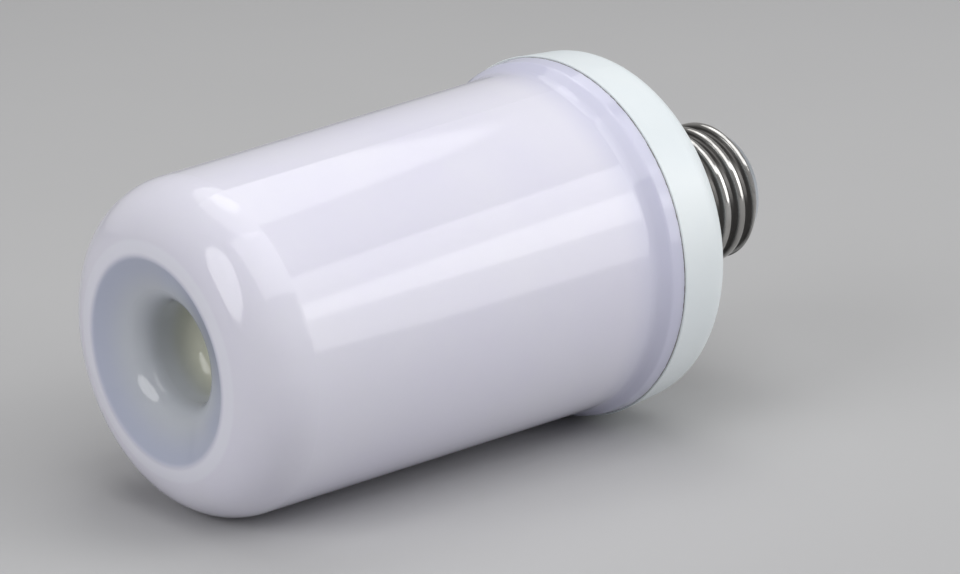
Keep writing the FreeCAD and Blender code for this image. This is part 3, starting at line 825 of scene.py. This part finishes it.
@dataclass(frozen=True)
class CanSleeve(Finish):
    """Shrink sleeve of a capacitor, bare at its top, with a pale stripe down one side."""

    centre: Point
    radius: float
    top: float
    sleeve_tone: Colour = (0.02, 0.028, 0.06)
    stripe_tone: Colour = (0.55, 0.58, 0.62)
    stripe_turns: Span = (0.45, 0.56)
    stripe_fade: float = 0.004
    can_tone: Colour = (0.78, 0.79, 0.80)
    bare_shares: Span = (0.80, 0.83)
    bare_depths: Span = (0.1 * MM, 0.02 * MM)
    score_edges: Span = (0.1 * MM, 0.22 * MM)

    def paint(self, recipe: Recipe) -> None:
        """Sleeve on the wall and rolled rim, scored metal on the top.

        Args:
            recipe: the material on its way.
        """
        local = recipe.centred(recipe.coords, self.centre)
        where = recipe.effect(EFFECTS.around(), Coords=local)
        radii = (self.radius * share for share in self.bare_shares)
        levels = (self.top - depth for depth in self.bare_depths)
        inner = recipe.fall(where.outputs["Radius"], *radii)
        bare = recipe.times(inner, recipe.ramp(recipe.where("Level"), *levels))
        stripe = recipe.band(where.outputs["Turn"], *self.stripe_turns, self.stripe_fade)
        body = recipe.blend(stripe, self.sleeve_tone, self.stripe_tone)
        body = recipe.blend(bare, body, self.can_tone)
        across, along = (recipe.sum(Sum.ABSOLUTE, part) for part in recipe.split(local)[:2])
        cross = recipe.fall(recipe.sum(Sum.LOWEST, across, along), *self.score_edges)
        roughness, _ = recipe.grain(roughness=0.28, spread=0.05, scale=900.0)
        recipe.set(Base_Color=body, Roughness=roughness, Metallic=bare)
        height = recipe.minus(1.0, recipe.times(cross, bare))
        recipe.bump(height, depth=0.15 * MM, strength=0.8)


@dataclass(frozen=True)
class BandedLacquer(Finish):
    """Blue lacquered resistor with colour bands across it."""

    centre: Point
    turn: float
    length: float
    tone: Colour = (0.16, 0.40, 0.50)
    other_tone: Colour = (0.20, 0.46, 0.56)
    brown: Colour = (0.45, 0.18, 0.04)
    black: Colour = (0.02, 0.02, 0.02)
    red: Colour = (0.62, 0.05, 0.03)
    gold: Colour = (0.72, 0.52, 0.16)
    first_band: float = 0.16
    band_pitch: float = 0.17
    band_width: float = 0.8 * MM

    def paint(self, recipe: Recipe) -> None:
        """Lacquer and its bands.

        Args:
            recipe: the material on its way.
        """
        along = recipe.split(recipe.centred(recipe.coords, self.centre, self.turn))[0]
        body = recipe.tone(self.tone, self.other_tone, scale=300.0)
        for number, tone in enumerate((self.brown, self.black, self.red, self.gold)):
            start = self.length * (self.first_band + self.band_pitch * number)
            band = recipe.band(along, start, start + self.band_width, fade=0.05 * MM)
            body = recipe.blend(band, body, tone)
        roughness, height = recipe.grain(roughness=0.3, spread=0.06, scale=1200.0)
        recipe.set(Base_Color=body, Roughness=roughness)
        recipe.bump(height, depth=0.03 * MM, strength=0.6)


@dataclass(frozen=True)
class Sleeve(Finish):
    """Soft sleeve of a lead."""

    tone: Colour
    other_tone: Colour

    def paint(self, recipe: Recipe) -> None:
        """Slightly waxy sleeve.

        Args:
            recipe: the material on its way.
        """
        body = recipe.tone(self.tone, self.other_tone, scale=200.0)
        roughness, height = recipe.grain(roughness=0.42, spread=0.07, scale=1500.0)
        recipe.set(Base_Color=body, Roughness=roughness)
        recipe.bump(height, depth=0.02 * MM, strength=0.6)


@dataclass(frozen=True)
class StudioPaper(Finish):
    """Pale paper of the floor, seen from its upper side only."""

    tone: Colour = (0.50, 0.50, 0.505)
    dim_share: float = 0.985

    def paint(self, recipe: Recipe) -> None:
        """Paper from above, nothing from below.

        Args:
            recipe: the material on its way.
        """
        dim_tone = tuple(self.dim_share * part for part in self.tone)
        body = recipe.tone(self.tone, dim_tone, scale=8.0)
        roughness, _ = recipe.grain(roughness=0.9, spread=0.02, scale=300.0)
        recipe.set(Base_Color=body, Roughness=roughness, Specular_IOR_Level=0.15)
        clear = recipe.add("ShaderNodeBsdfTransparent")
        mix = recipe.add("ShaderNodeMixShader")
        recipe.feed(mix.inputs[0], recipe.add("ShaderNodeNewGeometry").outputs["Backfacing"])
        recipe.feed(mix.inputs[1], recipe.shader.outputs[0])
        recipe.feed(mix.inputs[2], clear.outputs[0])
        recipe.feed(recipe.output.inputs["Surface"], mix.outputs[0])


WHITE_SATIN = SatinPlastic("white_satin_plastic", (0.775, 0.832, 0.862), (0.80, 0.85, 0.87))
CORE_PLASTIC = SatinPlastic("core_white_plastic", (0.74, 0.74, 0.72), (0.70, 0.70, 0.68), 0.45)
LED_FRAME = SatinPlastic("led_frame_plastic", (0.78, 0.77, 0.72), (0.74, 0.73, 0.68), 0.4)
# Nickel tones set darker than bare nickel: painted dark reflection of the surroundings.
NICKEL = ScrewShell("bright_nickel", (0.54, 0.535, 0.52), (0.40, 0.39, 0.375), 0.11)
CONTACT_PLATE = PlatedMetal("contact_plating", (0.74, 0.77, 0.80), (0.58, 0.60, 0.62), 0.2)
ZINC = PlatedMetal("zinc_plating", (0.62, 0.62, 0.62), (0.45, 0.45, 0.45), 0.26, 1.4)
GOLD = PlatedMetal("gold_flash", (0.83, 0.62, 0.28), (0.70, 0.50, 0.22), 0.22, 1.4)
SOLDER = PlatedMetal("solder", (0.70, 0.70, 0.70), (0.50, 0.50, 0.51), 0.28, 1.4)
COPPER_WIRE = PlatedMetal("enamelled_copper", (0.78, 0.36, 0.14), (0.60, 0.24, 0.09), 0.24, 1.4)
TILT_CAN = PlatedMetal("tilt_can_plating", (0.78, 0.66, 0.40), (0.60, 0.50, 0.30), 0.2, 1.4)
FERRITE = SatinPlastic(
    "ferrite",
    tone=(0.035, 0.035, 0.037),
    other_tone=(0.06, 0.058, 0.055),
    roughness=0.6,
    spread=0.08,
    speck_tone=(0.12, 0.12, 0.12),
    grain_depth=0.05 * MM,
)
GAP_SHADE = SatinPlastic(
    "seam_gap",
    tone=(0.075, 0.06, 0.055),
    other_tone=(0.16, 0.14, 0.13),
    roughness=0.8,
    spread=0.05,
    speck_tone=(0.02, 0.02, 0.02),
    grain_depth=0.02 * MM,
)


def put_in_scene(name: str, data: bpy.types.ID) -> bpy.types.Object:
    """Put a mesh, lamp or camera in the scene.

    Args:
        name: the object's name.
        data: what it shows.

    Returns:
        The new object.
    """
    thing = bpy.data.objects.new(name, data)
    bpy.context.scene.collection.objects.link(thing)
    return thing


def new_piece(
    name: str, form: bmesh.types.BMesh, finish: Finish, smooth: bool = True
) -> None:
    """Put a finished bmesh in the scene as a piece that rides on the bulb.

    Args:
        name: the piece's name.
        form: its mesh, in the row frame; it is freed here.
        finish: its finish.
        smooth: shade its faces smooth.
    """
    bmesh.ops.remove_doubles(form, verts=form.verts, dist=WELD_DISTANCE)
    bmesh.ops.recalc_face_normals(form, faces=form.faces)
    for face in form.faces:
        face.smooth = smooth
    mesh = bpy.data.meshes.new(name)
    form.to_mesh(mesh)
    form.free()
    mesh.materials.append(finish.material())
    piece = put_in_scene(name, mesh)
    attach(piece, "root")
    LOG.info("piece %s: %d faces", name, len(mesh.polygons))


def dress_nodes(finishes: dict[str, Finish]) -> None:
    """Give CAD nodes their finishes.

    Args:
        finishes: node name to the finish for all of its slots.
    """
    for node, finish in finishes.items():
        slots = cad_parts[node].data.materials
        for place in range(len(slots)):
            slots[place] = finish.material()
        LOG.info("node %s: %s", node, finish.name)


def add_ring(
    form: bmesh.types.BMesh, radius: float, level: float, thickness: float, steps: int, sides: int
) -> list[bmesh.types.BMVert]:
    """Add a round wire ring about the bulb's axis.

    Args:
        form: the mesh that it goes into.
        radius: from the axis to the wire's middle.
        level: height of the ring.
        thickness: the wire's radius.
        steps: parts round the ring.
        sides: sides of the wire.

    Returns:
        The ring's vertices.
    """
    place = Matrix.Translation((radius, 0.0, level)) @ Matrix.Rotation(math.pi / 2, 4, "X")
    section = bmesh.ops.create_circle(form, segments=sides, radius=thickness, matrix=place)
    edges = list({edge for vert in section["verts"] for edge in vert.link_edges})
    before = set(form.verts)
    turn = {"cent": ORIGIN, "axis": AXIS, "angle": FULL_TURN, "steps": steps}
    bmesh.ops.spin(form, geom=edges, **turn, use_merge=True, use_duplicate=False)
    return section["verts"] + [vert for vert in form.verts if vert not in before]


def facing(outward: Vector, upright: Vector) -> Matrix:
    """Turn that points Z one way and leans Y as far as it can another way.

    Args:
        outward: unit direction for Z.
        upright: direction that Y leans to.

    Returns:
        The turn.
    """
    across = upright.cross(outward).normalized()
    return Matrix((across, outward.cross(across), outward)).transposed().to_4x4()


class Assembly:
    """A sub-assembly of the bulb: the pieces it adds to the CAD nodes, and their finishes."""

    def build(self) -> None:
        """Add nothing, where the CAD nodes have every piece."""

    def dress(self) -> None:
        """Give its CAD nodes their finishes."""
        raise NotImplementedError


@dataclass
class Cover(Assembly):
    """Milky cover, and the hairline gap between it and the ring.

    Fleck levels are in millimetres from the gap. A fleck's depth, length and height are shares
    of its size.
    """

    gap_radius: float = 32.94 * MM
    gap_level: float = 89.56 * MM
    gap_thickness: float = 0.06 * MM
    gap_steps: int = 240
    gap_sides: int = 6
    swell: float = 0.045 * MM
    swell_scale: float = 260.0
    fleck_count: int = 46
    fleck_sizes: Span = (0.05 * MM, 0.13 * MM)
    fleck_levels: Span = (-0.12, 0.05)
    fleck_offset: float = 0.03 * MM
    fleck_depth: float = 0.6
    fleck_lengths: Span = (1.0, 3.2)
    fleck_heights: Span = (0.6, 1.1)
    seed: int = 11

    def _gap_line(self) -> None:
        """Make the dark line of the gap, a little thicker here and there."""
        form = bmesh.new()
        wire = self.gap_thickness, self.gap_steps, self.gap_sides
        verts = add_ring(form, self.gap_radius, self.gap_level, *wire)
        for vert in verts:
            swell = noise.noise(vert.co * self.swell_scale) * self.swell
            vert.co.x *= 1.0 + swell / self.gap_radius
            vert.co.y *= 1.0 + swell / self.gap_radius
        new_piece("seam_gap_line", form, GAP_SHADE)

    def _flecks(self) -> None:
        """Make the dark flecks caught in the gap."""
        form = bmesh.new()
        draw = random.Random(self.seed)
        radius = self.gap_radius + self.fleck_offset
        for _ in range(self.fleck_count):
            angle = draw.uniform(0.0, FULL_TURN)
            size = draw.uniform(*self.fleck_sizes)
            level = self.gap_level + draw.uniform(*self.fleck_levels) * MM
            place = Matrix.Rotation(angle, 4, "Z") @ Matrix.Translation((radius, 0.0, level))
            length, height = draw.uniform(*self.fleck_lengths), draw.uniform(*self.fleck_heights)
            shape = Matrix.Diagonal((self.fleck_depth, length, height, 1.0))
            bmesh.ops.create_icosphere(form, subdivisions=1, radius=size, matrix=place @ shape)
        new_piece("seam_flecks", form, GAP_SHADE)

    def build(self) -> None:
        """Make the gap line and its flecks."""
        self._gap_line()
        self._flecks()

    def dress(self) -> None:
        """Give the cover its milky plastic."""
        dress_nodes({"diffuser_cover": MilkyPlastic("milky_plastic")})


@dataclass
class Base(Assembly):
    """White ring and shoulder with the screw cap."""

    def dress(self) -> None:
        """Satin white housing, nickel shell, black insulator and plated contact."""
        dress_nodes({
            "base_housing": WHITE_SATIN,
            "screw_cap": NICKEL,
            "cap_insulator": BlackGlaze("black_insulator"),
            "centre_contact": CONTACT_PLATE,
        })


@dataclass
class LedCore(Assembly):
    """Tube with its rolled LED board and the board on its lower end."""

    columns: int = 14
    rows: int = 7
    row_start: float = 25.0 * MM
    row_pitch: float = 8.5 * MM
    package_face: float = 18.3 * MM
    window: Span = (2.2 * MM, 2.8 * MM)
    window_corner: float = 0.5 * MM
    dome: float = 0.10 * MM
    top_face: float = 16.6 * MM
    top_circle: float = 9.0 * MM
    top_columns: int = 6
    upright_share: float = 0.9

    def _window(self, form: bmesh.types.BMesh, place: Matrix) -> None:
        """Add one phosphor window with rounded corners, half of it proud of its package.

        Args:
            form: the mesh that it goes into.
            place: where its middle goes, with its height along Z.
        """
        sized = place @ Matrix.Diagonal((*self.window, self.dome, 1.0))
        cube = bmesh.ops.create_cube(form, size=1.0, matrix=sized)
        upright = place.to_3x3() @ AXIS
        corners = []
        for edge in {edge for vert in cube["verts"] for edge in vert.link_edges}:
            along = (edge.verts[0].co - edge.verts[1].co).normalized()
            if abs(along.dot(upright)) > self.upright_share:
                corners.append(edge)
        rounding = {"offset": self.window_corner, "segments": 2, "profile": 0.5}
        bmesh.ops.bevel(form, geom=corners, **rounding, affect="EDGES", material=-1)

    def build(self) -> None:
        """Make the phosphor windows of the side LEDs and of the LEDs behind the well."""
        phosphor = Phosphor("phosphor_gel")
        form = bmesh.new()
        outward = Matrix.Rotation(math.pi / 2, 4, "Z") @ Matrix.Rotation(math.pi / 2, 4, "X")
        for row in range(self.rows):
            level = self.row_start + row * self.row_pitch
            face = Matrix.Translation((self.package_face, 0.0, level))
            for column in range(self.columns):
                turn = Matrix.Rotation(FULL_TURN * column / self.columns, 4, "Z")
                self._window(form, turn @ face @ outward)
        new_piece("side_led_windows", form, phosphor, smooth=False)
        form = bmesh.new()
        face = Matrix.Translation((self.top_circle, 0.0, self.top_face))
        for column in range(self.top_columns):
            turn = Matrix.Rotation(FULL_TURN * column / self.top_columns, 4, "Z")
            self._window(form, turn @ face)
        self._window(form, Matrix.Translation((0.0, 0.0, self.top_face)))
        new_piece("top_led_windows", form, phosphor, smooth=False)

    def dress(self) -> None:
        """Core plastic, film, LED frames and the white board."""
        tones = (0.78, 0.78, 0.74), (0.72, 0.71, 0.66)
        white = Laminate("white_laminate", *tones, track_scale=260.0, roughness=0.3)
        dress_nodes({"core_tube": CORE_PLASTIC, "led_flex_board": FlexFilm("flex_film")})
        dress_nodes({f"side_leds_row_{number + 1}": LED_FRAME for number in range(self.rows)})
        dress_nodes({"top_led_board": white, "top_leds": LED_FRAME})


@dataclass
class Driver(Assembly):
    """Driver board with its parts, pins and screws.

    Solder spots are in millimetres, and the winding's pitch in radii of its wire.
    """

    board_top: float = 94.6 * MM
    board_foot: float = 93.0 * MM
    winding_centre: Span = (-2.0 * MM, 15.0 * MM)
    winding_radius: float = 3.46 * MM
    winding_foot: float = 1.1 * MM
    winding_turns: int = 6
    winding_pitch: float = 2.12
    winding_steps: int = 36
    wire: float = 0.25 * MM
    wire_sides: int = 8
    joint_height: float = 0.9 * MM
    joint_radii: Span = (1.5 * MM, 0.85 * MM)
    joint_sides: int = 20
    solder_spots: tuple[Span, ...] = ((5.5, -5.2), (-6.0, -4.6))
    under_spots: tuple[Span, ...] = ((9.0, 3.0), (9.0, -3.0))

    def _joint(self, form: bmesh.types.BMesh, spot: Span, upward: bool) -> None:
        """Add one solder cone.

        Args:
            form: the mesh that it goes into.
            spot: where it stands, in millimetres.
            upward: on the board's top, and otherwise hanging under its foot.
        """
        x, y = (part * MM for part in spot)
        half = self.joint_height / 2
        level = self.board_top + half if upward else self.board_foot - half
        place = Matrix.Translation((x, y, level))
        if not upward:
            place = place @ Matrix.Rotation(math.pi, 4, "X")
        foot, tip = self.joint_radii
        sizes = {"radius1": foot, "radius2": tip, "depth": self.joint_height}
        bmesh.ops.create_cone(
            form, cap_ends=True, segments=self.joint_sides, **sizes, matrix=place
        )

    def build(self) -> None:
        """Make the choke's winding and the solder joints of the leads."""
        form = bmesh.new()
        wire = self.wire, self.winding_steps, self.wire_sides
        foot = self.board_top + self.winding_foot + self.wire
        for turn in range(self.winding_turns):
            level = foot + turn * self.winding_pitch * self.wire
            verts = add_ring(form, self.winding_radius, level, *wire)
            bmesh.ops.translate(form, verts=verts, vec=(*self.winding_centre, 0.0))
        new_piece("choke_winding", form, COPPER_WIRE)
        form = bmesh.new()
        for spot in self.solder_spots:
            self._joint(form, spot, upward=True)
        for spot in self.under_spots:
            self._joint(form, spot, upward=False)
        new_piece("solder_joints", form, SOLDER)

    def dress(self) -> None:
        """Laminate, cans, chips and small hardware."""
        big_can = {"centre": (3.8 * MM, 2.2 * MM, 0.0), "radius": 4.0 * MM, "top": 110.6 * MM}
        small_can = {"centre": (-4.2 * MM, 3.2 * MM, 0.0), "radius": 3.15 * MM, "top": 105.6 * MM}
        resistor = {"centre": (8.0 * MM, -14.0 * MM, 0.0), "turn": 30.0, "length": 9.0 * MM}
        dress_nodes({
            "driver_board": Laminate("green_laminate", (0.02, 0.13, 0.045), (0.05, 0.24, 0.09)),
            "core_screws": ZINC,
            "board_pins": GOLD,
            "input_capacitor": CanSleeve("input_capacitor_sleeve", **big_can),
            "output_capacitor": CanSleeve("output_capacitor_sleeve", **small_can),
            "bridge_rectifier": ChipEpoxy("bridge_epoxy", body_half=1.9 * MM, centre=-6.0 * MM),
            "led_driver_chip": ChipEpoxy("driver_chip_epoxy", centre=5.0 * MM),
            "flame_controller_chip": ChipEpoxy("controller_chip_epoxy", centre=12.0 * MM),
            "flyback_diode": ChipEpoxy("diode_epoxy", body_half=1.3 * MM, centre=-13.0 * MM),
            "fusible_resistor": BandedLacquer("resistor_lacquer", **resistor),
            "tilt_switch": TILT_CAN,
            "buck_inductor": FERRITE,
        })


@dataclass
class Leads(Assembly):
    """Sleeved leads inside the bulb."""

    def dress(self) -> None:
        """Red, black and white sleeves."""
        dress_nodes({
            "live_wire": Sleeve("red_sleeve", (0.50, 0.025, 0.02), (0.42, 0.02, 0.018)),
            "neutral_wire": Sleeve("black_sleeve", (0.02, 0.02, 0.021), (0.035, 0.034, 0.034)),
            "top_board_leads": Sleeve("white_sleeve", (0.74, 0.73, 0.70), (0.68, 0.67, 0.64)),
        })


class BoxShape(Enum):
    """Outline of a soft box, with the share of its width times height that it fills."""

    OBLONG = ("RECTANGLE", 1.0)
    ROUND = ("ELLIPSE", math.pi / 4.0)


@dataclass
class SoftBox:
    """One soft light panel."""

    name: str
    place: Vector
    aim: Vector
    upright: Vector
    width: float
    height: float
    radiance: float
    shape: BoxShape = BoxShape.ROUND

    def build(self) -> None:
        """Hang the panel and turn it to its aim."""
        outline, fill = self.shape.value
        lamp = bpy.data.lights.new(self.name, "AREA")
        lamp.shape = outline
        lamp.size, lamp.size_y = self.width, self.height
        lamp.energy = self.radiance * math.pi * self.width * self.height * fill
        panel = put_in_scene(self.name, lamp)
        turn = facing((self.place - self.aim).normalized(), self.upright)
        panel.matrix_world = Matrix.Translation(self.place) @ turn


@dataclass
class Studio:
    """Pale floor that the bulb lies on, soft light, and the camera at the photograph's angle."""

    right: Vector = field(default_factory=lambda: Vector((0.12266, 0.64904, 0.75080)))
    up: Vector = field(default_factory=lambda: Vector((0.96910, -0.24150, 0.05040)))
    middle: Vector = field(default_factory=lambda: Vector((0.0, 0.0, 65.0 * MM)))
    eye: Vector = field(default_factory=lambda: Vector((0.296414, 0.386469, -0.311352)))
    view_forward: Vector = field(default_factory=lambda: Vector((-0.48503, -0.62081, 0.61591)))
    view_up: Vector = field(default_factory=lambda: Vector((0.86585, -0.43971, 0.23865)))
    lens: float = 131.25
    sensor_width: float = 36.0
    clip_range: Span = (0.01, 50.0)
    floor_half: float = 4.0
    floor_gap: float = 0.02 * MM
    core_gap: float = 0.02
    backdrop_level: float = 0.42
    fill_level: float = 0.10

    @property
    def front(self) -> Vector:
        """Direction along the floor from the bulb to the camera's side."""
        return self.right.cross(self.up)

    def offset(self, right: float, up: float, front: float) -> Vector:
        """A place beside the bulb, in metres along the studio's own directions.

        Args:
            right: metres to the camera's right.
            up: metres up from the floor.
            front: metres towards the camera's side.

        Returns:
            The place in the row frame.
        """
        return self.middle + self.right * right + self.up * up + self.front * front

    def toward(self, azimuth: float, elevation: float, distance: float) -> Vector:
        """A place round the bulb, as seen by someone behind the camera.

        Args:
            azimuth: degrees from the camera's side towards the right.
            elevation: degrees above the floor.
            distance: metres from the bulb's middle.

        Returns:
            The place in the row frame.
        """
        turn, rise = math.radians(azimuth), math.radians(elevation)
        reach = math.cos(rise) * distance
        return self.offset(
            math.sin(turn) * reach, math.sin(rise) * distance, math.cos(turn) * reach
        )

    def build_floor(self) -> None:
        """Lay the paper against the bulb's flange and rounded end."""
        lowest = min(
            self.up.dot(vert.co)
            for node in ("diffuser_cover", "base_housing")
            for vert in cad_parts[node].data.vertices
        )
        form = bmesh.new()
        turn = Matrix((self.right, self.up.cross(self.right), self.up)).transposed().to_4x4()
        place = Matrix.Translation(self.up * (lowest - self.floor_gap)) @ turn
        bmesh.ops.create_grid(
            form, x_segments=1, y_segments=1, size=self.floor_half, matrix=place
        )
        mesh = bpy.data.meshes.new("paper_floor")
        form.to_mesh(mesh)
        form.free()
        if mesh.polygons[0].normal.dot(self.up) < 0.0:
            mesh.flip_normals()
        mesh.materials.append(StudioPaper("studio_paper").material())
        put_in_scene("paper_floor", mesh)
        LOG.info("floor lies %.2f mm below the axis", -lowest / MM)

    def build_lights(self) -> None:
        """Hang a box with a core overhead and one on the right, a left box and a wide key."""
        above = self.offset(right=-0.05, up=0.70, front=-0.27)
        beside = self.offset(right=0.90, up=0.38, front=0.05)
        down, inward = above - self.up, beside - self.right
        core_above = above - self.up * self.core_gap
        core_beside = beside - self.right * self.core_gap
        left = self.toward(azimuth=-46.0, elevation=26.0, distance=1.0)
        key = self.toward(azimuth=40.0, elevation=62.0, distance=1.6)
        up, front, middle, oblong = self.up, self.front, self.middle, BoxShape.OBLONG
        boxes = (
            SoftBox("overhead_box", above, down, front, width=0.62, height=0.84, radiance=1.35),
            SoftBox("overhead_core", core_above, down, front, width=0.24, height=0.3, radiance=1.6),
            SoftBox("right_box", beside, inward, up, width=0.84, height=0.96, radiance=2.0),
            SoftBox("right_core", core_beside, middle, up, width=0.60, height=0.24, radiance=2.0),
            SoftBox("left_box", left, middle, up, width=0.56, height=0.76, radiance=3.6),
            SoftBox("soft_key", key, middle, up, width=1.7, height=1.3, radiance=1.7, shape=oblong),
        )
        for box in boxes:
            box.build()

    def build_backdrop(self) -> None:
        """Pale backdrop to look at, and a dimmer even fill to light by."""
        world = bpy.data.worlds.new("studio_world")
        world.use_nodes = True
        bpy.context.scene.world = world
        pen = NodePen(world.node_tree)
        world.node_tree.nodes.clear()
        rays = pen.add("ShaderNodeLightPath").outputs
        seen = pen.sum(Sum.HIGHEST, rays["Is Camera Ray"], rays["Is Glossy Ray"])
        seen = pen.sum(Sum.HIGHEST, seen, rays["Is Transmission Ray"])
        strength = pen.ramp(seen, 0.0, 1.0, self.fill_level, self.backdrop_level)
        light = pen.add("ShaderNodeBackground", Color=(1.0, 1.0, 1.0), Strength=strength)
        pen.add("ShaderNodeOutputWorld", Surface=light.outputs[0])

    def build_camera(self) -> None:
        """Set the camera where the photograph was taken from."""
        data = bpy.data.cameras.new("photo_camera")
        data.sensor_width = self.sensor_width
        data.lens = self.lens
        data.clip_start, data.clip_end = self.clip_range
        camera = put_in_scene("photo_camera", data)
        turn = facing(-self.view_forward.normalized(), self.view_up)
        camera.matrix_world = Matrix.Translation(self.eye) @ turn
        bpy.context.scene.camera = camera

    def build(self) -> None:
        """Set up the whole studio."""
        self.build_camera()
        self.build_floor()
        self.build_lights()
        self.build_backdrop()
        bpy.context.scene.view_settings.view_transform = "Standard"


def main() -> None:
    """Build the bulb's looks round the CAD frame, then the studio."""
    logging.basicConfig(level=logging.INFO, format="%(name)s: %(message)s")
    for assembly in (Cover(), Base(), LedCore(), Driver(), Leads()):
        assembly.build()
        assembly.dress()
    Studio().build()


if __name__ == "__main__":
    main()
    bpy.context.view_layer.update()
